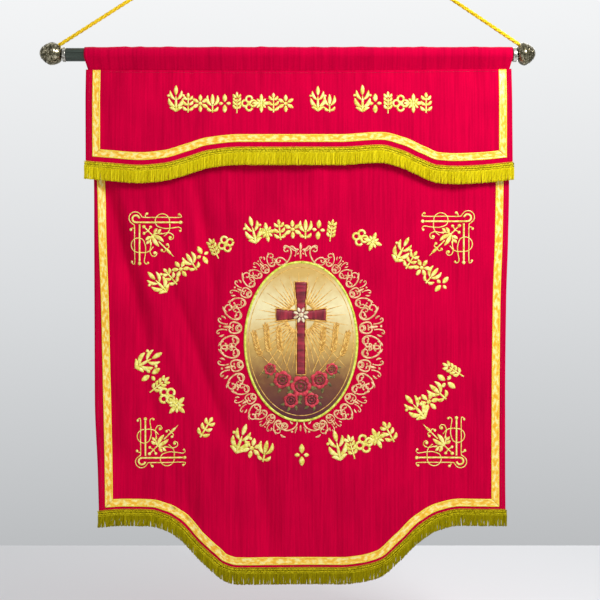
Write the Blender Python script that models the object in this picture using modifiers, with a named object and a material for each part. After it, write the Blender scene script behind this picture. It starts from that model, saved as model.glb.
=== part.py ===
"""Church banner on its rod: crimson panel and valance, gold ribbon, fringe, medallion and cord.

Metres, +Z up, the decorated face towards -Y.  The origin is the underside of the cord's top
bend, where a hook carries the banner.  The tables hold millimetres: x across from the origin
and drop, the distance below the rod's axis.
"""
import math

import bmesh
import bpy
from mathutils import Vector

MM = 0.001
GAP = 0.0004                    # between pieces that touch

# Rod, collars and finials
ROD_AXIS_Z = -0.2931
ROD_RADIUS = 0.0125
ROD_LEFT = -0.4331
ROD_RIGHT = 0.4078
COLLAR_RADIUS = 0.0136
COLLAR_EDGE = 0.0008            # chamfer on a collar's rims
LEFT_COLLAR_LENGTH = 0.0060
RIGHT_COLLAR_LENGTH = 0.0072
FINIAL_SEAT = 0.0014            # from a collar to the foot of its finial
FINIAL_TILT = math.radians(6.0)
FINIAL_SIDES = 28
FINIAL_WIDEST = 22.6            # distance from the tip to the widest ring, mm
LEFT_SHOULDER = 1.0             # length of the shoulder, as a share of the full one
RIGHT_SHOULDER = 0.6
FINIAL_ROWS = (                 # (distance from the tip, radius), mm
    (0.0, 0.0), (0.5, 4.4), (2.0, 7.6), (4.0, 10.4), (5.3, 12.3),
    (6.1, 11.9), (7.2, 13.7), (11.3, 17.0), (13.6, 18.6), (14.6, 17.9),
    (15.6, 19.2), (18.9, 20.8), (22.6, 21.6), (26.4, 21.0), (30.6, 19.9),
    (35.0, 17.9), (39.0, 15.3), (41.6, 12.4), (42.4, 9.0), (42.4, 0.0),
)

# Cord
CORD_RADIUS = 0.00375
CORD_SPACING = 0.018            # between the tube's points
CORD_BORE_RADIUS = 0.0042
CORD_BORE_FLOOR = 0.0006        # from the cord's end to the bottom of its bore
CORD_BORE_REACH = 0.040         # how far the bore's cutter stands out along the cord
CORD_ROUTE = (                  # (x, z), mm, from the left finial over the hook to the right
    (-451.0, -278.0), (-444.0, -273.5), (-380.0, -232.6), (-300.0, -181.5), (-210.0, -124.2),
    (-130.0, -73.2), (-75.0, -38.3), (-40.0, -16.3), (-20.0, -4.2), (-9.0, 1.5),
    (0.0, 3.75), (9.0, 1.3), (20.0, -4.9), (40.0, -17.7), (75.0, -41.1),
    (130.0, -78.0), (200.0, -125.2), (280.0, -179.2), (350.0, -226.4), (416.5, -271.2),
    (423.0, -275.6),
)

# Cloth
CLOTH_THICKNESS = 0.0012
RIBBON_THICKNESS = 0.0008
FRINGE_THICKNESS = 0.0024
MEDALLION_THICKNESS = 0.0012
INNER_CELLS = 34                # grid cells across, between the two side ribbons
HEM_ALLOWANCE = 9.0             # cloth below the fringe's top edge, mm
RIBBON_WIDTH = 14.5
PANEL_RIBBON_GAP = 5.5          # from the fringe's top edge up to the ribbon, mm
VALANCE_RIBBON_GAP = 10.5
FRINGE_HEADING = 11.0           # height of the braided heading, mm
PANEL_FRINGE_HEIGHT = 31.0
VALANCE_FRINGE_HEIGHT = 33.0
FRINGE_SLIT = 1.5               # between two teeth of the comb, mm
FRINGE_OVERHANG = 2.6           # past the cloth's side edges, mm
PANEL_ROWS = 13
VALANCE_ROWS = 5

# Casing: the panel's cloth turned over the rod
CASING_RADIUS = ROD_RADIUS + GAP + CLOTH_THICKNESS / 2
CASING_STEPS = 9
CASING_TUCK = 10.0              # turned edge behind the panel, below the seam, mm
CASING_TUCK_OFFSET = 0.0020
CASING_TOP_EDGES = (-398.0, 407.2)   # its side edges on top of the rod, mm

# Valance: how far it hangs in front of the panel
VALANCE_SEAM_OFFSET = 0.0029
VALANCE_HEM_OFFSET = 0.0100
VALANCE_FALL = 70.0             # drop over which it comes forward, mm
VALANCE_START = 0.6             # its top edge below the seam, mm

SEAM_ROWS = (                   # (x, drop)
    (-395.0, 28.0), (0.0, 30.0), (405.0, 26.5),
)
VALANCE_HEM_ROWS = (            # (x, drop) of the fringe's top edge
    (-396.0, 202.0), (-350.0, 206.0), (-294.0, 210.0), (-247.0, 206.0), (-200.0, 193.0),
    (-162.0, 181.5), (-106.0, 176.0), (83.0, 176.0), (158.0, 172.0), (196.0, 181.0),
    (234.0, 198.0), (266.0, 210.0), (300.0, 212.0), (347.0, 210.0), (407.0, 204.0),
)
PANEL_HEM_ROWS = (              # (x, drop) of the fringe's top edge
    (-374.0, 860.0), (-332.0, 857.0), (-275.0, 858.0), (-247.0, 866.0), (-219.0, 883.0),
    (-181.0, 922.0), (-153.0, 947.0), (-134.0, 961.0), (-110.0, 967.0), (83.0, 967.0),
    (121.0, 963.0), (158.0, 953.0), (196.0, 922.0), (234.0, 886.0), (271.0, 865.0),
    (309.0, 857.0), (394.0, 857.0),
)
PANEL_SIDE_ROWS = (             # (drop, left edge, left ribbon, right ribbon, right edge)
    (28.0, -392.0, -375.0, 388.0, 402.0),
    (251.0, -381.0, -367.6, 383.6, 401.5),
    (349.0, -380.4, -364.8, 381.7, 399.6),
    (462.0, -379.8, -360.3, 377.8, 396.0),
    (651.0, -378.9, -355.8, 375.8, 394.0),
    (783.0, -373.4, -353.0, 375.3, 394.0),
    (870.0, -371.0, -352.0, 375.3, 394.5),
)
VALANCE_SIDE_ROWS = (           # (drop, left edge, left ribbon, right ribbon, right edge)
    (28.0, -395.5, -375.3, 388.5, 405.5),
    (220.0, -395.0, -375.0, 388.5, 407.0),
)
PANEL_FOLDS = (                 # (top x, top drop, bottom x, bottom drop, width, depth)
    (-358.0, 240.0, -283.0, 545.0, 27.0, 8.0),
    (-234.0, 430.0, -136.0, 715.0, 30.0, 8.0),
    (-190.0, 230.0, -147.0, 492.0, 26.0, 6.0),
    (-90.0, 205.0, -75.0, 300.0, 26.0, 4.0),
    (-4.0, 205.0, 0.0, 285.0, 24.0, 3.0),
    (-324.0, 740.0, -300.0, 850.0, 26.0, 5.0),
    (-212.0, 750.0, -205.0, 880.0, 28.0, 6.0),
    (-75.0, 760.0, -45.0, 930.0, 34.0, 7.0),
    (15.0, 820.0, 8.0, 920.0, 24.0, 3.5),
    (255.0, 600.0, 262.0, 860.0, 32.0, 3.5),
    (347.0, 240.0, 345.0, 520.0, 28.0, -3.0),
)
PANEL_WAVE_DEPTH = 2.5          # slow wave across the panel, growing down to the hem, mm
PANEL_WAVE_LENGTH = 255.0
VALANCE_FOLDS = (
    (-324.0, 30.0, -318.0, 200.0, 30.0, -2.5),
    (-280.0, 40.0, -235.0, 110.0, 26.0, 2.5),
    (-143.0, 25.0, -141.0, 120.0, 24.0, 2.0),
    (-20.0, 25.0, -20.0, 110.0, 24.0, 2.0),
    (122.0, 25.0, 124.0, 110.0, 24.0, 2.0),
    (300.0, 60.0, 305.0, 210.0, 40.0, -2.5),
)

# Medallion
MEDALLION_CENTRE = (9.4, 540.5)      # (x, drop), mm
MEDALLION_HALF = (106.0, 150.0)      # half width and half height, mm
MEDALLION_CALM = 1.28                # share of the medallion's size in which the cloth lies flat
MEDALLION_BLEND = 0.45               # from there on, how quickly the folds come back

COLOURS = {                     # (sRGB-like linear colour, roughness, metallic)
    "crimson_cloth": ((0.62, 0.0, 0.045), 0.85, 0.0),
    "gold_ribbon": ((0.90, 0.55, 0.08), 0.40, 0.0),
    "gold_fringe": ((0.50, 0.42, 0.01), 0.60, 0.0),
    "gold_cord": ((0.90, 0.65, 0.03), 0.55, 0.0),
    "medallion_cloth": ((0.72, 0.50, 0.22), 0.65, 0.0),
    "dark_rod": ((0.045, 0.055, 0.045), 0.40, 0.8),
    "antique_metal": ((0.12, 0.11, 0.07), 0.30, 0.9),
}


def clear_scene():
    """Remove every object of the open scene."""
    for item in list(bpy.data.objects):
        bpy.data.objects.remove(item, do_unlink=True)


def new_collection(name):
    """Return a new collection linked to the scene."""
    collection = bpy.data.collections.new(name)
    bpy.context.scene.collection.children.link(collection)
    return collection


def material(name):
    """Return the named material, made on its first use."""
    found = bpy.data.materials.get(name)
    if found:
        return found
    colour, roughness, metallic = COLOURS[name]
    made = bpy.data.materials.new(name)
    made.use_nodes = True
    shader = made.node_tree.nodes["Principled BSDF"]
    shader.inputs["Base Color"].default_value = (*colour, 1.0)
    shader.inputs["Roughness"].default_value = roughness
    shader.inputs["Metallic"].default_value = metallic
    return made


def eased(rows, at, column=1):
    """Read one column of a table at a place along its first, on a smooth line with no overshoot."""
    xs = [row[0] for row in rows]
    ys = [row[column] for row in rows]
    if at <= xs[0]:
        return ys[0]
    if at >= xs[-1]:
        return ys[-1]
    slopes = [(ys[i + 1] - ys[i]) / (xs[i + 1] - xs[i]) for i in range(len(xs) - 1)]
    cell = max(i for i in range(len(xs) - 1) if xs[i] <= at)

    def tangent(i):
        if i == 0 or i == len(xs) - 1:
            return slopes[min(i, len(slopes) - 1)]
        before, after = slopes[i - 1], slopes[i]
        return 0.0 if before * after <= 0 else 2 * before * after / (before + after)

    width = xs[cell + 1] - xs[cell]
    t = (at - xs[cell]) / width
    rise = ys[cell + 1] - ys[cell]
    start, end = tangent(cell) * width, tangent(cell + 1) * width
    return (ys[cell] + start * t + (3 * rise - 2 * start - end) * t ** 2
            + (start + end - 2 * rise) * t ** 3)


def smooth_step(low, high, value):
    """Rise from 0 at low to 1 at high, with no corner."""
    t = min(max((value - low) / (high - low), 0.0), 1.0)
    return t * t * (3 - 2 * t)


def folds_depth(folds, x, drop):
    """Add up the folds of a table at one place: how far back the cloth lies, in mm."""
    depth = 0.0
    for top_x, top_drop, bottom_x, bottom_drop, width, fold_depth in folds:
        along = (drop - top_drop) / (bottom_drop - top_drop)
        fade = smooth_step(-0.25, 0.25, along) * smooth_step(1.25, 0.75, along)
        middle = top_x + (bottom_x - top_x) * along
        depth += fold_depth * fade * math.exp(-((x - middle) / width) ** 2)
    return depth


def panel_depth(x, drop):
    """How far back the panel lies at one place, in metres: folds and a slow wave."""
    wave = PANEL_WAVE_DEPTH * math.sin(2 * math.pi * (x + 40) / PANEL_WAVE_LENGTH)
    depth = folds_depth(PANEL_FOLDS, x, drop) + wave * smooth_step(250, 900, drop)
    radius = math.hypot((x - MEDALLION_CENTRE[0]) / MEDALLION_HALF[0],
                        (drop - MEDALLION_CENTRE[1]) / MEDALLION_HALF[1])
    calm = smooth_step(MEDALLION_CALM, MEDALLION_CALM + MEDALLION_BLEND, radius)
    return depth * calm * smooth_step(60, 200, drop) * MM


def valance_depth(x, drop):
    """How far back the valance lies at one place, in metres; it hangs in front of the panel."""
    fall = smooth_step(-VALANCE_FALL, VALANCE_FALL, drop - eased(SEAM_ROWS, x)) * 2 - 1
    offset = VALANCE_SEAM_OFFSET + (VALANCE_HEM_OFFSET - VALANCE_SEAM_OFFSET) * max(fall, 0.0)
    settled = smooth_step(30, 90, drop)
    return folds_depth(VALANCE_FOLDS, x, drop) * settled * MM - offset


class Cloth:
    """A hanging cloth as a grid of points on its middle surface.

    Columns run down from the left edge to the right one, and the side ribbons' edges are
    columns.  Rows run up from the cut edge: the fringe's top, the ribbon's edges, the body.
    """

    def __init__(self, hem_rows, side_rows, ribbon_gap, body_rows, start, depth):
        self.hem_rows = hem_rows
        self.side_rows = side_rows
        self.ribbon_gap = ribbon_gap
        self.depth = depth
        self.start = start
        low = side_rows[-1][0]
        self.columns = []
        for foot in self.column_places(low):
            levels = self.levels(foot, body_rows)
            index = len(self.columns)
            self.columns.append([self.point(self.column_places(drop)[index], drop)
                                 for drop in levels])

    def column_places(self, drop):
        """Return the x of every column at one drop, in mm."""
        left, left_ribbon, right_ribbon, right = (eased(self.side_rows, drop, c)
                                                  for c in range(1, 5))
        half = RIBBON_WIDTH / 2
        inner_left, inner_right = left_ribbon + half, right_ribbon - half
        step = (inner_right - inner_left) / INNER_CELLS
        inner = [inner_left + step * i for i in range(INNER_CELLS + 1)]
        return [left, left_ribbon - half, *inner, right_ribbon + half, right]

    def levels(self, foot, body_rows):
        """Return the drops of one column's rows, from the cut edge up to the seam, in mm."""
        hem = eased(self.hem_rows, foot)
        slope = (eased(self.hem_rows, foot + 1) - eased(self.hem_rows, foot - 1)) / 2
        stretch = math.hypot(1.0, slope)
        low = hem - self.ribbon_gap * stretch
        high = hem - (self.ribbon_gap + RIBBON_WIDTH) * stretch
        top = eased(SEAM_ROWS, foot) + self.start
        body = [high + (top - high) * k / body_rows for k in range(1, body_rows + 1)]
        return [hem + HEM_ALLOWANCE, hem, low, high, *body]

    def point(self, x, drop):
        """Return the point of the cloth at one place."""
        return Vector((x * MM, self.depth(x, drop), ROD_AXIS_Z - drop * MM))


def link_mesh(name, mesh, collection, surface):
    """Link a new object with one material and return it."""
    item = bpy.data.objects.new(name, mesh)
    mesh.materials.append(material(surface))
    collection.objects.link(item)
    return item


def sheet(name, columns, cells, thickness, collection, surface):
    """Make a solid sheet from grid columns of points, on the cells that the test keeps.

    Args:
        columns: equal lists of points; column i lies to the left of column i + 1.
        cells: a function of (column, row) that says whether that cell is cloth.
    """
    shape = bmesh.new()
    verts = [[shape.verts.new(point) for point in column] for column in columns]
    for i in range(len(columns) - 1):
        for j in range(len(columns[0]) - 1):
            if cells(i, j):
                shape.faces.new((verts[i][j], verts[i + 1][j],
                                 verts[i + 1][j + 1], verts[i][j + 1]))
    loose = [v for column in verts for v in column if not v.link_faces]
    bmesh.ops.delete(shape, geom=loose, context="VERTS")
    mesh = bpy.data.meshes.new(name)
    shape.to_mesh(mesh)
    shape.free()
    item = link_mesh(name, mesh, collection, surface)
    solid = item.modifiers.new("thickness", "SOLIDIFY")
    solid.thickness = thickness
    solid.offset = 0.0
    solid.use_even_offset = True
    return item


def every_cell(_column, _row):
    """Keep all of a sheet's cells."""
    return True


def casing_points(column_index, cloth):
    """Return one column's points from the seam up over the rod and down behind it."""
    seam = cloth.columns[column_index][-1]
    middle = len(cloth.columns) / 2
    edge = CASING_TOP_EDGES[0] if column_index < middle else CASING_TOP_EDGES[1]
    reach = edge * MM / cloth.columns[0 if column_index < middle else -1][-1].x
    seam_drop = ROD_AXIS_Z - seam.z
    leave = math.asin(CASING_RADIUS / seam_drop)
    points = []
    for k in range(CASING_STEPS + 1):
        turn = -leave + (math.pi + 2 * leave) * k / CASING_STEPS
        points.append(Vector((seam.x * reach, -CASING_RADIUS * math.cos(turn),
                              ROD_AXIS_Z + CASING_RADIUS * math.sin(turn))))
    points.append(Vector((seam.x, CASING_TUCK_OFFSET, seam.z)))
    points.append(Vector((seam.x, CASING_TUCK_OFFSET, seam.z - CASING_TUCK * MM)))
    return points


def build_panel(collection):
    """Build the main panel with its casing, and return its grid."""
    cloth = Cloth(PANEL_HEM_ROWS, PANEL_SIDE_ROWS, PANEL_RIBBON_GAP, PANEL_ROWS, 0.0,
                  panel_depth)
    columns = [column + casing_points(i, cloth) for i, column in enumerate(cloth.columns)]
    sheet("main_panel", columns, every_cell, CLOTH_THICKNESS, collection, "crimson_cloth")
    return cloth


def build_valance(collection):
    """Build the valance and return its grid."""
    cloth = Cloth(VALANCE_HEM_ROWS, VALANCE_SIDE_ROWS, VALANCE_RIBBON_GAP, VALANCE_ROWS,
                  VALANCE_START, valance_depth)
    sheet("valance", cloth.columns, every_cell, CLOTH_THICKNESS, collection, "crimson_cloth")
    return cloth


def build_ribbon(name, cloth, collection):
    """Lay a ribbon on a cloth's grid: down the second columns and along the third row."""
    forward = Vector((0, CLOTH_THICKNESS / 2 + GAP + RIBBON_THICKNESS / 2, 0))
    columns = [[point - forward for point in column] for column in cloth.columns]
    last = len(columns) - 3

    def ribbon_cell(column, row):
        side = column in (1, last)
        hem = row == 2 and 1 < column < last
        return (side and row >= 2) or hem

    sheet(name, columns, ribbon_cell, RIBBON_THICKNESS, collection, "gold_ribbon")


def build_fringe(name, cloth, height, collection):
    """Hang a fringe on a cloth's hem: a heading with one tooth to each column of the grid."""
    forward = CLOTH_THICKNESS / 2 + GAP + FRINGE_THICKNESS / 2
    tops = [column[1].copy() for column in cloth.columns]
    behind = [column[0].y for column in cloth.columns]
    overhang = Vector((FRINGE_OVERHANG * MM, 0, 0))
    tops = [tops[0] - overhang, *tops[1:-1], tops[-1] + overhang]
    columns = []
    for i, top in enumerate(tops):
        stops = [(top, behind[i])]
        if i + 1 < len(tops):
            share = 1 - FRINGE_SLIT * MM / (tops[i + 1].x - top.x)
            stops.append((top.lerp(tops[i + 1], share),
                          behind[i] + (behind[i + 1] - behind[i]) * share))
        for place, back in stops:
            heading = Vector((place.x, back - forward, place.z - FRINGE_HEADING * MM))
            foot = Vector((place.x, back - forward, place.z - height * MM))
            columns.append([foot, heading, Vector((place.x, place.y - forward, place.z))])

    def tooth_or_heading(column, row):
        return row == 1 or column % 2 == 0

    sheet(name, columns, tooth_or_heading, FRINGE_THICKNESS, collection, "gold_fringe")


def build_medallion(collection):
    """Make the oval patch that lies flat on the middle of the panel."""
    bpy.ops.curve.primitive_bezier_circle_add(radius=1.0)
    item = bpy.context.object
    item.name = item.data.name = "medallion"
    for point in item.data.splines[0].bezier_points:
        for name in ("co", "handle_left", "handle_right"):
            place = getattr(point, name)
            setattr(point, name, (place[0] * MEDALLION_HALF[0] * MM,
                                  place[1] * MEDALLION_HALF[1] * MM, 0))
    item.data.dimensions = "2D"
    item.data.fill_mode = "BOTH"
    item.data.extrude = MEDALLION_THICKNESS / 2
    item.data.resolution_u = 12
    item.rotation_euler = (math.pi / 2, 0, 0)
    forward = CLOTH_THICKNESS / 2 + GAP + MEDALLION_THICKNESS / 2
    item.location = (MEDALLION_CENTRE[0] * MM, -forward, ROD_AXIS_Z - MEDALLION_CENTRE[1] * MM)
    item.data.materials.append(material("medallion_cloth"))
    for owner in list(item.users_collection):
        owner.objects.unlink(item)
    collection.objects.link(item)


def turned(name, rows, place, axis, sides, collection, surface):
    """Turn a profile round an axis.

    Args:
        rows: (height along the axis, radius) in metres, from the top down the outer side.
        axis: the direction in which height grows from place.
    """
    mesh = bpy.data.meshes.new(name)
    mesh.from_pydata([(radius, 0, height) for height, radius in rows],
                     [(i, i + 1) for i in range(len(rows) - 1)], [])
    item = link_mesh(name, mesh, collection, surface)
    item.location = place
    item.rotation_euler = axis.to_track_quat("Z", "Y").to_euler()
    screw = item.modifiers.new("turn", "SCREW")
    screw.axis = "Z"
    screw.steps = sides
    screw.render_steps = sides
    screw.use_merge_vertices = True
    screw.merge_threshold = 0.00001
    screw.use_smooth_shade = True
    return item


def build_rod(collection):
    """Build the round rod between its two collars."""
    length = ROD_RIGHT - ROD_LEFT
    bpy.ops.mesh.primitive_cylinder_add(
        vertices=40, radius=ROD_RADIUS, depth=length,
        location=((ROD_LEFT + ROD_RIGHT) / 2, 0, ROD_AXIS_Z), rotation=(0, math.pi / 2, 0))
    item = bpy.context.object
    item.name = item.data.name = "rod"
    item.data.materials.append(material("dark_rod"))
    for owner in list(item.users_collection):
        owner.objects.unlink(item)
    collection.objects.link(item)


def build_end(side, direction, rod_end, collar_length, shoulder, collection):
    """Build the collar and the finial of one end; direction is -1 at the left, 1 at the right."""
    collar_start = rod_end + direction * GAP
    inner = COLLAR_RADIUS - COLLAR_EDGE
    rows = [(collar_length, 0.0), (collar_length, inner),
            (collar_length - COLLAR_EDGE, COLLAR_RADIUS), (COLLAR_EDGE, COLLAR_RADIUS),
            (0.0, inner), (0.0, 0.0)]
    turned(f"collar_{side}", rows, (collar_start, 0, ROD_AXIS_Z), Vector((direction, 0, 0)),
           FINIAL_SIDES, collection, "antique_metal")

    tilted = Vector((direction * math.cos(FINIAL_TILT), 0, math.sin(FINIAL_TILT)))
    foot = (collar_start + direction * (collar_length + FINIAL_SEAT), 0, ROD_AXIS_Z)
    distances = [distance if distance < FINIAL_WIDEST
                 else FINIAL_WIDEST + (distance - FINIAL_WIDEST) * shoulder
                 for distance, _ in FINIAL_ROWS]
    rows = [((distances[-1] - distance) * MM, radius * MM)
            for distance, (_, radius) in zip(distances, FINIAL_ROWS)]
    return turned(f"finial_{side}", rows, foot, tilted, FINIAL_SIDES, collection,
                  "antique_metal")


def cord_points():
    """Return the cord's points, evenly spaced on a smooth curve through its route."""
    route = [Vector((x * MM, 0, z * MM)) for x, z in CORD_ROUTE]
    ends = [2 * route[0] - route[1], *route, 2 * route[-1] - route[-2]]
    fine = []
    for p0, p1, p2, p3 in zip(ends, ends[1:], ends[2:], ends[3:]):
        for k in range(20):
            t = k / 20
            fine.append(0.5 * (2 * p1 + (p2 - p0) * t + (2 * p0 - 5 * p1 + 4 * p2 - p3) * t ** 2
                               + (3 * p1 - p0 - 3 * p2 + p3) * t ** 3))
    fine.append(route[-1])
    lengths = [0.0]
    for a, b in zip(fine, fine[1:]):
        lengths.append(lengths[-1] + (b - a).length)
    count = round(lengths[-1] / CORD_SPACING)
    points = []
    cell = 0
    for k in range(count + 1):
        target = lengths[-1] * k / count
        while cell < len(fine) - 2 and lengths[cell + 1] < target:
            cell += 1
        share = (target - lengths[cell]) / (lengths[cell + 1] - lengths[cell])
        points.append(fine[cell].lerp(fine[cell + 1], share))
    return points


def build_cord(collection):
    """Build the cord's tube and return its points."""
    points = cord_points()
    curve = bpy.data.curves.new("hanging_cord", "CURVE")
    curve.dimensions = "3D"
    spline = curve.splines.new("POLY")
    spline.points.add(len(points) - 1)
    for target, point in zip(spline.points, points):
        target.co = (*point, 1.0)
    curve.bevel_depth = CORD_RADIUS
    curve.bevel_resolution = 2
    curve.use_fill_caps = True
    curve.materials.append(material("gold_cord"))
    collection.objects.link(bpy.data.objects.new("hanging_cord", curve))
    return points


def bore_finial(finial, end, towards, cutters):
    """Drill the blind hole in a finial's shoulder that holds one end of the cord."""
    outward = (towards - end).normalized()
    depth = CORD_BORE_REACH + CORD_BORE_FLOOR
    centre = end + outward * (CORD_BORE_REACH - CORD_BORE_FLOOR) / 2
    bpy.ops.mesh.primitive_cylinder_add(
        vertices=24, radius=CORD_BORE_RADIUS, depth=depth, location=centre,
        rotation=outward.to_track_quat("Z", "Y").to_euler())
    cutter = bpy.context.object
    cutter.name = cutter.data.name = f"bore_{finial.name}"
    cutter.hide_render = True
    cutter.display_type = "WIRE"
    for owner in list(cutter.users_collection):
        owner.objects.unlink(cutter)
    cutters.objects.link(cutter)
    cut = finial.modifiers.new("cord bore", "BOOLEAN")
    cut.operation = "DIFFERENCE"
    cut.object = cutter


def main():
    """Build the banner."""
    clear_scene()
    banner = new_collection("church_banner")
    cutters = new_collection("cutters")

    panel = build_panel(banner)
    valance = build_valance(banner)
    build_ribbon("panel_ribbon", panel, banner)
    build_ribbon("valance_ribbon", valance, banner)
    build_fringe("panel_fringe", panel, PANEL_FRINGE_HEIGHT, banner)
    build_fringe("valance_fringe", valance, VALANCE_FRINGE_HEIGHT, banner)
    build_medallion(banner)

    build_rod(banner)
    left = build_end("left", -1, ROD_LEFT, LEFT_COLLAR_LENGTH, LEFT_SHOULDER, banner)
    right = build_end("right", 1, ROD_RIGHT, RIGHT_COLLAR_LENGTH, RIGHT_SHOULDER, banner)
    cord = build_cord(banner)
    bore_finial(left, cord[0], cord[1], cutters)
    bore_finial(right, cord[-1], cord[-2], cutters)


main()
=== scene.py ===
"""Looks of a crimson church banner that hangs from its rod by a twisted gold cord.

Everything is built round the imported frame: metres, +Z up, the decorated face towards -Y, the
origin at the hook under the cord's top bend.  Cloth, ribbons and embroidery are laid out in
millimetres: x across from the origin, and drop, the distance below the rod's axis.
"""

import logging
import math
from dataclasses import dataclass, field
from enum import Enum, IntEnum
from typing import Iterable, Sequence

import bpy
import numpy as np
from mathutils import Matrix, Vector


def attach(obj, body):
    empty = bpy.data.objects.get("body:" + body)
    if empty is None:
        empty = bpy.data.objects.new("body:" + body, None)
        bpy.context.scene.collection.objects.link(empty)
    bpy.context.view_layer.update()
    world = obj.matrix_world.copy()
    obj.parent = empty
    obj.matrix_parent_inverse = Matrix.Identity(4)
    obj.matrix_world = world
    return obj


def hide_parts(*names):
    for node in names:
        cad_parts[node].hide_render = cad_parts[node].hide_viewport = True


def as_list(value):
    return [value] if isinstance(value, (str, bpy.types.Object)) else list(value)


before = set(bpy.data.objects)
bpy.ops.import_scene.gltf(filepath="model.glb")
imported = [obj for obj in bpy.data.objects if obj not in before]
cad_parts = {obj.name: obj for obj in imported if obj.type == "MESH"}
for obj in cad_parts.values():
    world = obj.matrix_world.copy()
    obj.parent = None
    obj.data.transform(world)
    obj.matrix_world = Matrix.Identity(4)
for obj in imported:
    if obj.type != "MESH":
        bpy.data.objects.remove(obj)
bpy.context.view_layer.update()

LOG = logging.getLogger("church_banner")
Array = np.ndarray
Node = bpy.types.Node
NodeTree = bpy.types.NodeTree
Object = bpy.types.Object
Socket = bpy.types.NodeSocket
Rows = Sequence[Sequence[float]]
Pair = tuple[float, float]
Triple = tuple[float, float, float]

MM = 0.001
WAVE_TURN = 2 * math.pi / 20        # a wave texture's period at a scale of 1
BODY = "root"


# ------------ layout shared with the solids

ROD_AXIS_Z = -0.2931
CLOTH_THICKNESS = 1.2               # of the solids; their middle surface carries the folds
HEM_ALLOWANCE = 9.0                 # cloth below the fringe's top edge
CASING_RADIUS = 13.5                # middle of the cloth round the rod
CASING_TUCK = 10.0
CASING_EDGES = (-398.0, 407.2)      # its side edges over the rod
RIBBON_WIDTH = 14.5

SEAM_ROWS = (                       # (x, drop)
    (-395.0, 28.0), (0.0, 30.0), (405.0, 26.5),
)
VALANCE_HEM_ROWS = (                # (x, drop) of the fringe's top edge
    (-396.0, 202.0), (-350.0, 206.0), (-294.0, 210.0), (-247.0, 206.0), (-200.0, 193.0),
    (-162.0, 181.5), (-106.0, 176.0), (83.0, 176.0), (158.0, 172.0), (196.0, 181.0),
    (234.0, 198.0), (266.0, 210.0), (300.0, 212.0), (347.0, 210.0), (407.0, 204.0),
)
PANEL_HEM_ROWS = (                  # (x, drop) of the fringe's top edge
    (-374.0, 860.0), (-332.0, 857.0), (-275.0, 858.0), (-247.0, 866.0), (-219.0, 883.0),
    (-181.0, 922.0), (-153.0, 947.0), (-134.0, 961.0), (-110.0, 967.0), (83.0, 967.0),
    (121.0, 963.0), (158.0, 953.0), (196.0, 922.0), (234.0, 886.0), (271.0, 865.0),
    (309.0, 857.0), (394.0, 857.0),
)
PANEL_SIDE_ROWS = (                 # (drop, left edge, left ribbon, right ribbon, right edge)
    (28.0, -392.0, -375.0, 388.0, 402.0),
    (251.0, -381.0, -367.6, 383.6, 401.5),
    (349.0, -380.4, -364.8, 381.7, 399.6),
    (462.0, -379.8, -360.3, 377.8, 396.0),
    (651.0, -378.9, -355.8, 375.8, 394.0),
    (783.0, -373.4, -353.0, 375.3, 394.0),
    (870.0, -371.0, -352.0, 375.3, 394.5),
)
VALANCE_SIDE_ROWS = (               # (drop, left edge, left ribbon, right ribbon, right edge)
    (28.0, -395.5, -375.3, 388.5, 405.5),
    (220.0, -395.0, -375.0, 388.5, 407.0),
)
PANEL_FOLDS = (                     # (top x, top drop, bottom x, bottom drop, width, depth)
    (-358.0, 240.0, -283.0, 545.0, 27.0, 8.0),
    (-234.0, 430.0, -136.0, 715.0, 30.0, 8.0),
    (-190.0, 230.0, -147.0, 492.0, 26.0, 6.0),
    (-90.0, 205.0, -75.0, 300.0, 26.0, 4.0),
    (-4.0, 205.0, 0.0, 285.0, 24.0, 3.0),
    (-324.0, 740.0, -300.0, 850.0, 26.0, 5.0),
    (-212.0, 750.0, -205.0, 880.0, 28.0, 6.0),
    (-75.0, 760.0, -45.0, 930.0, 34.0, 7.0),
    (15.0, 820.0, 8.0, 920.0, 24.0, 3.5),
    (255.0, 600.0, 262.0, 860.0, 32.0, 3.5),
    (347.0, 240.0, 345.0, 520.0, 28.0, -3.0),
)
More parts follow.
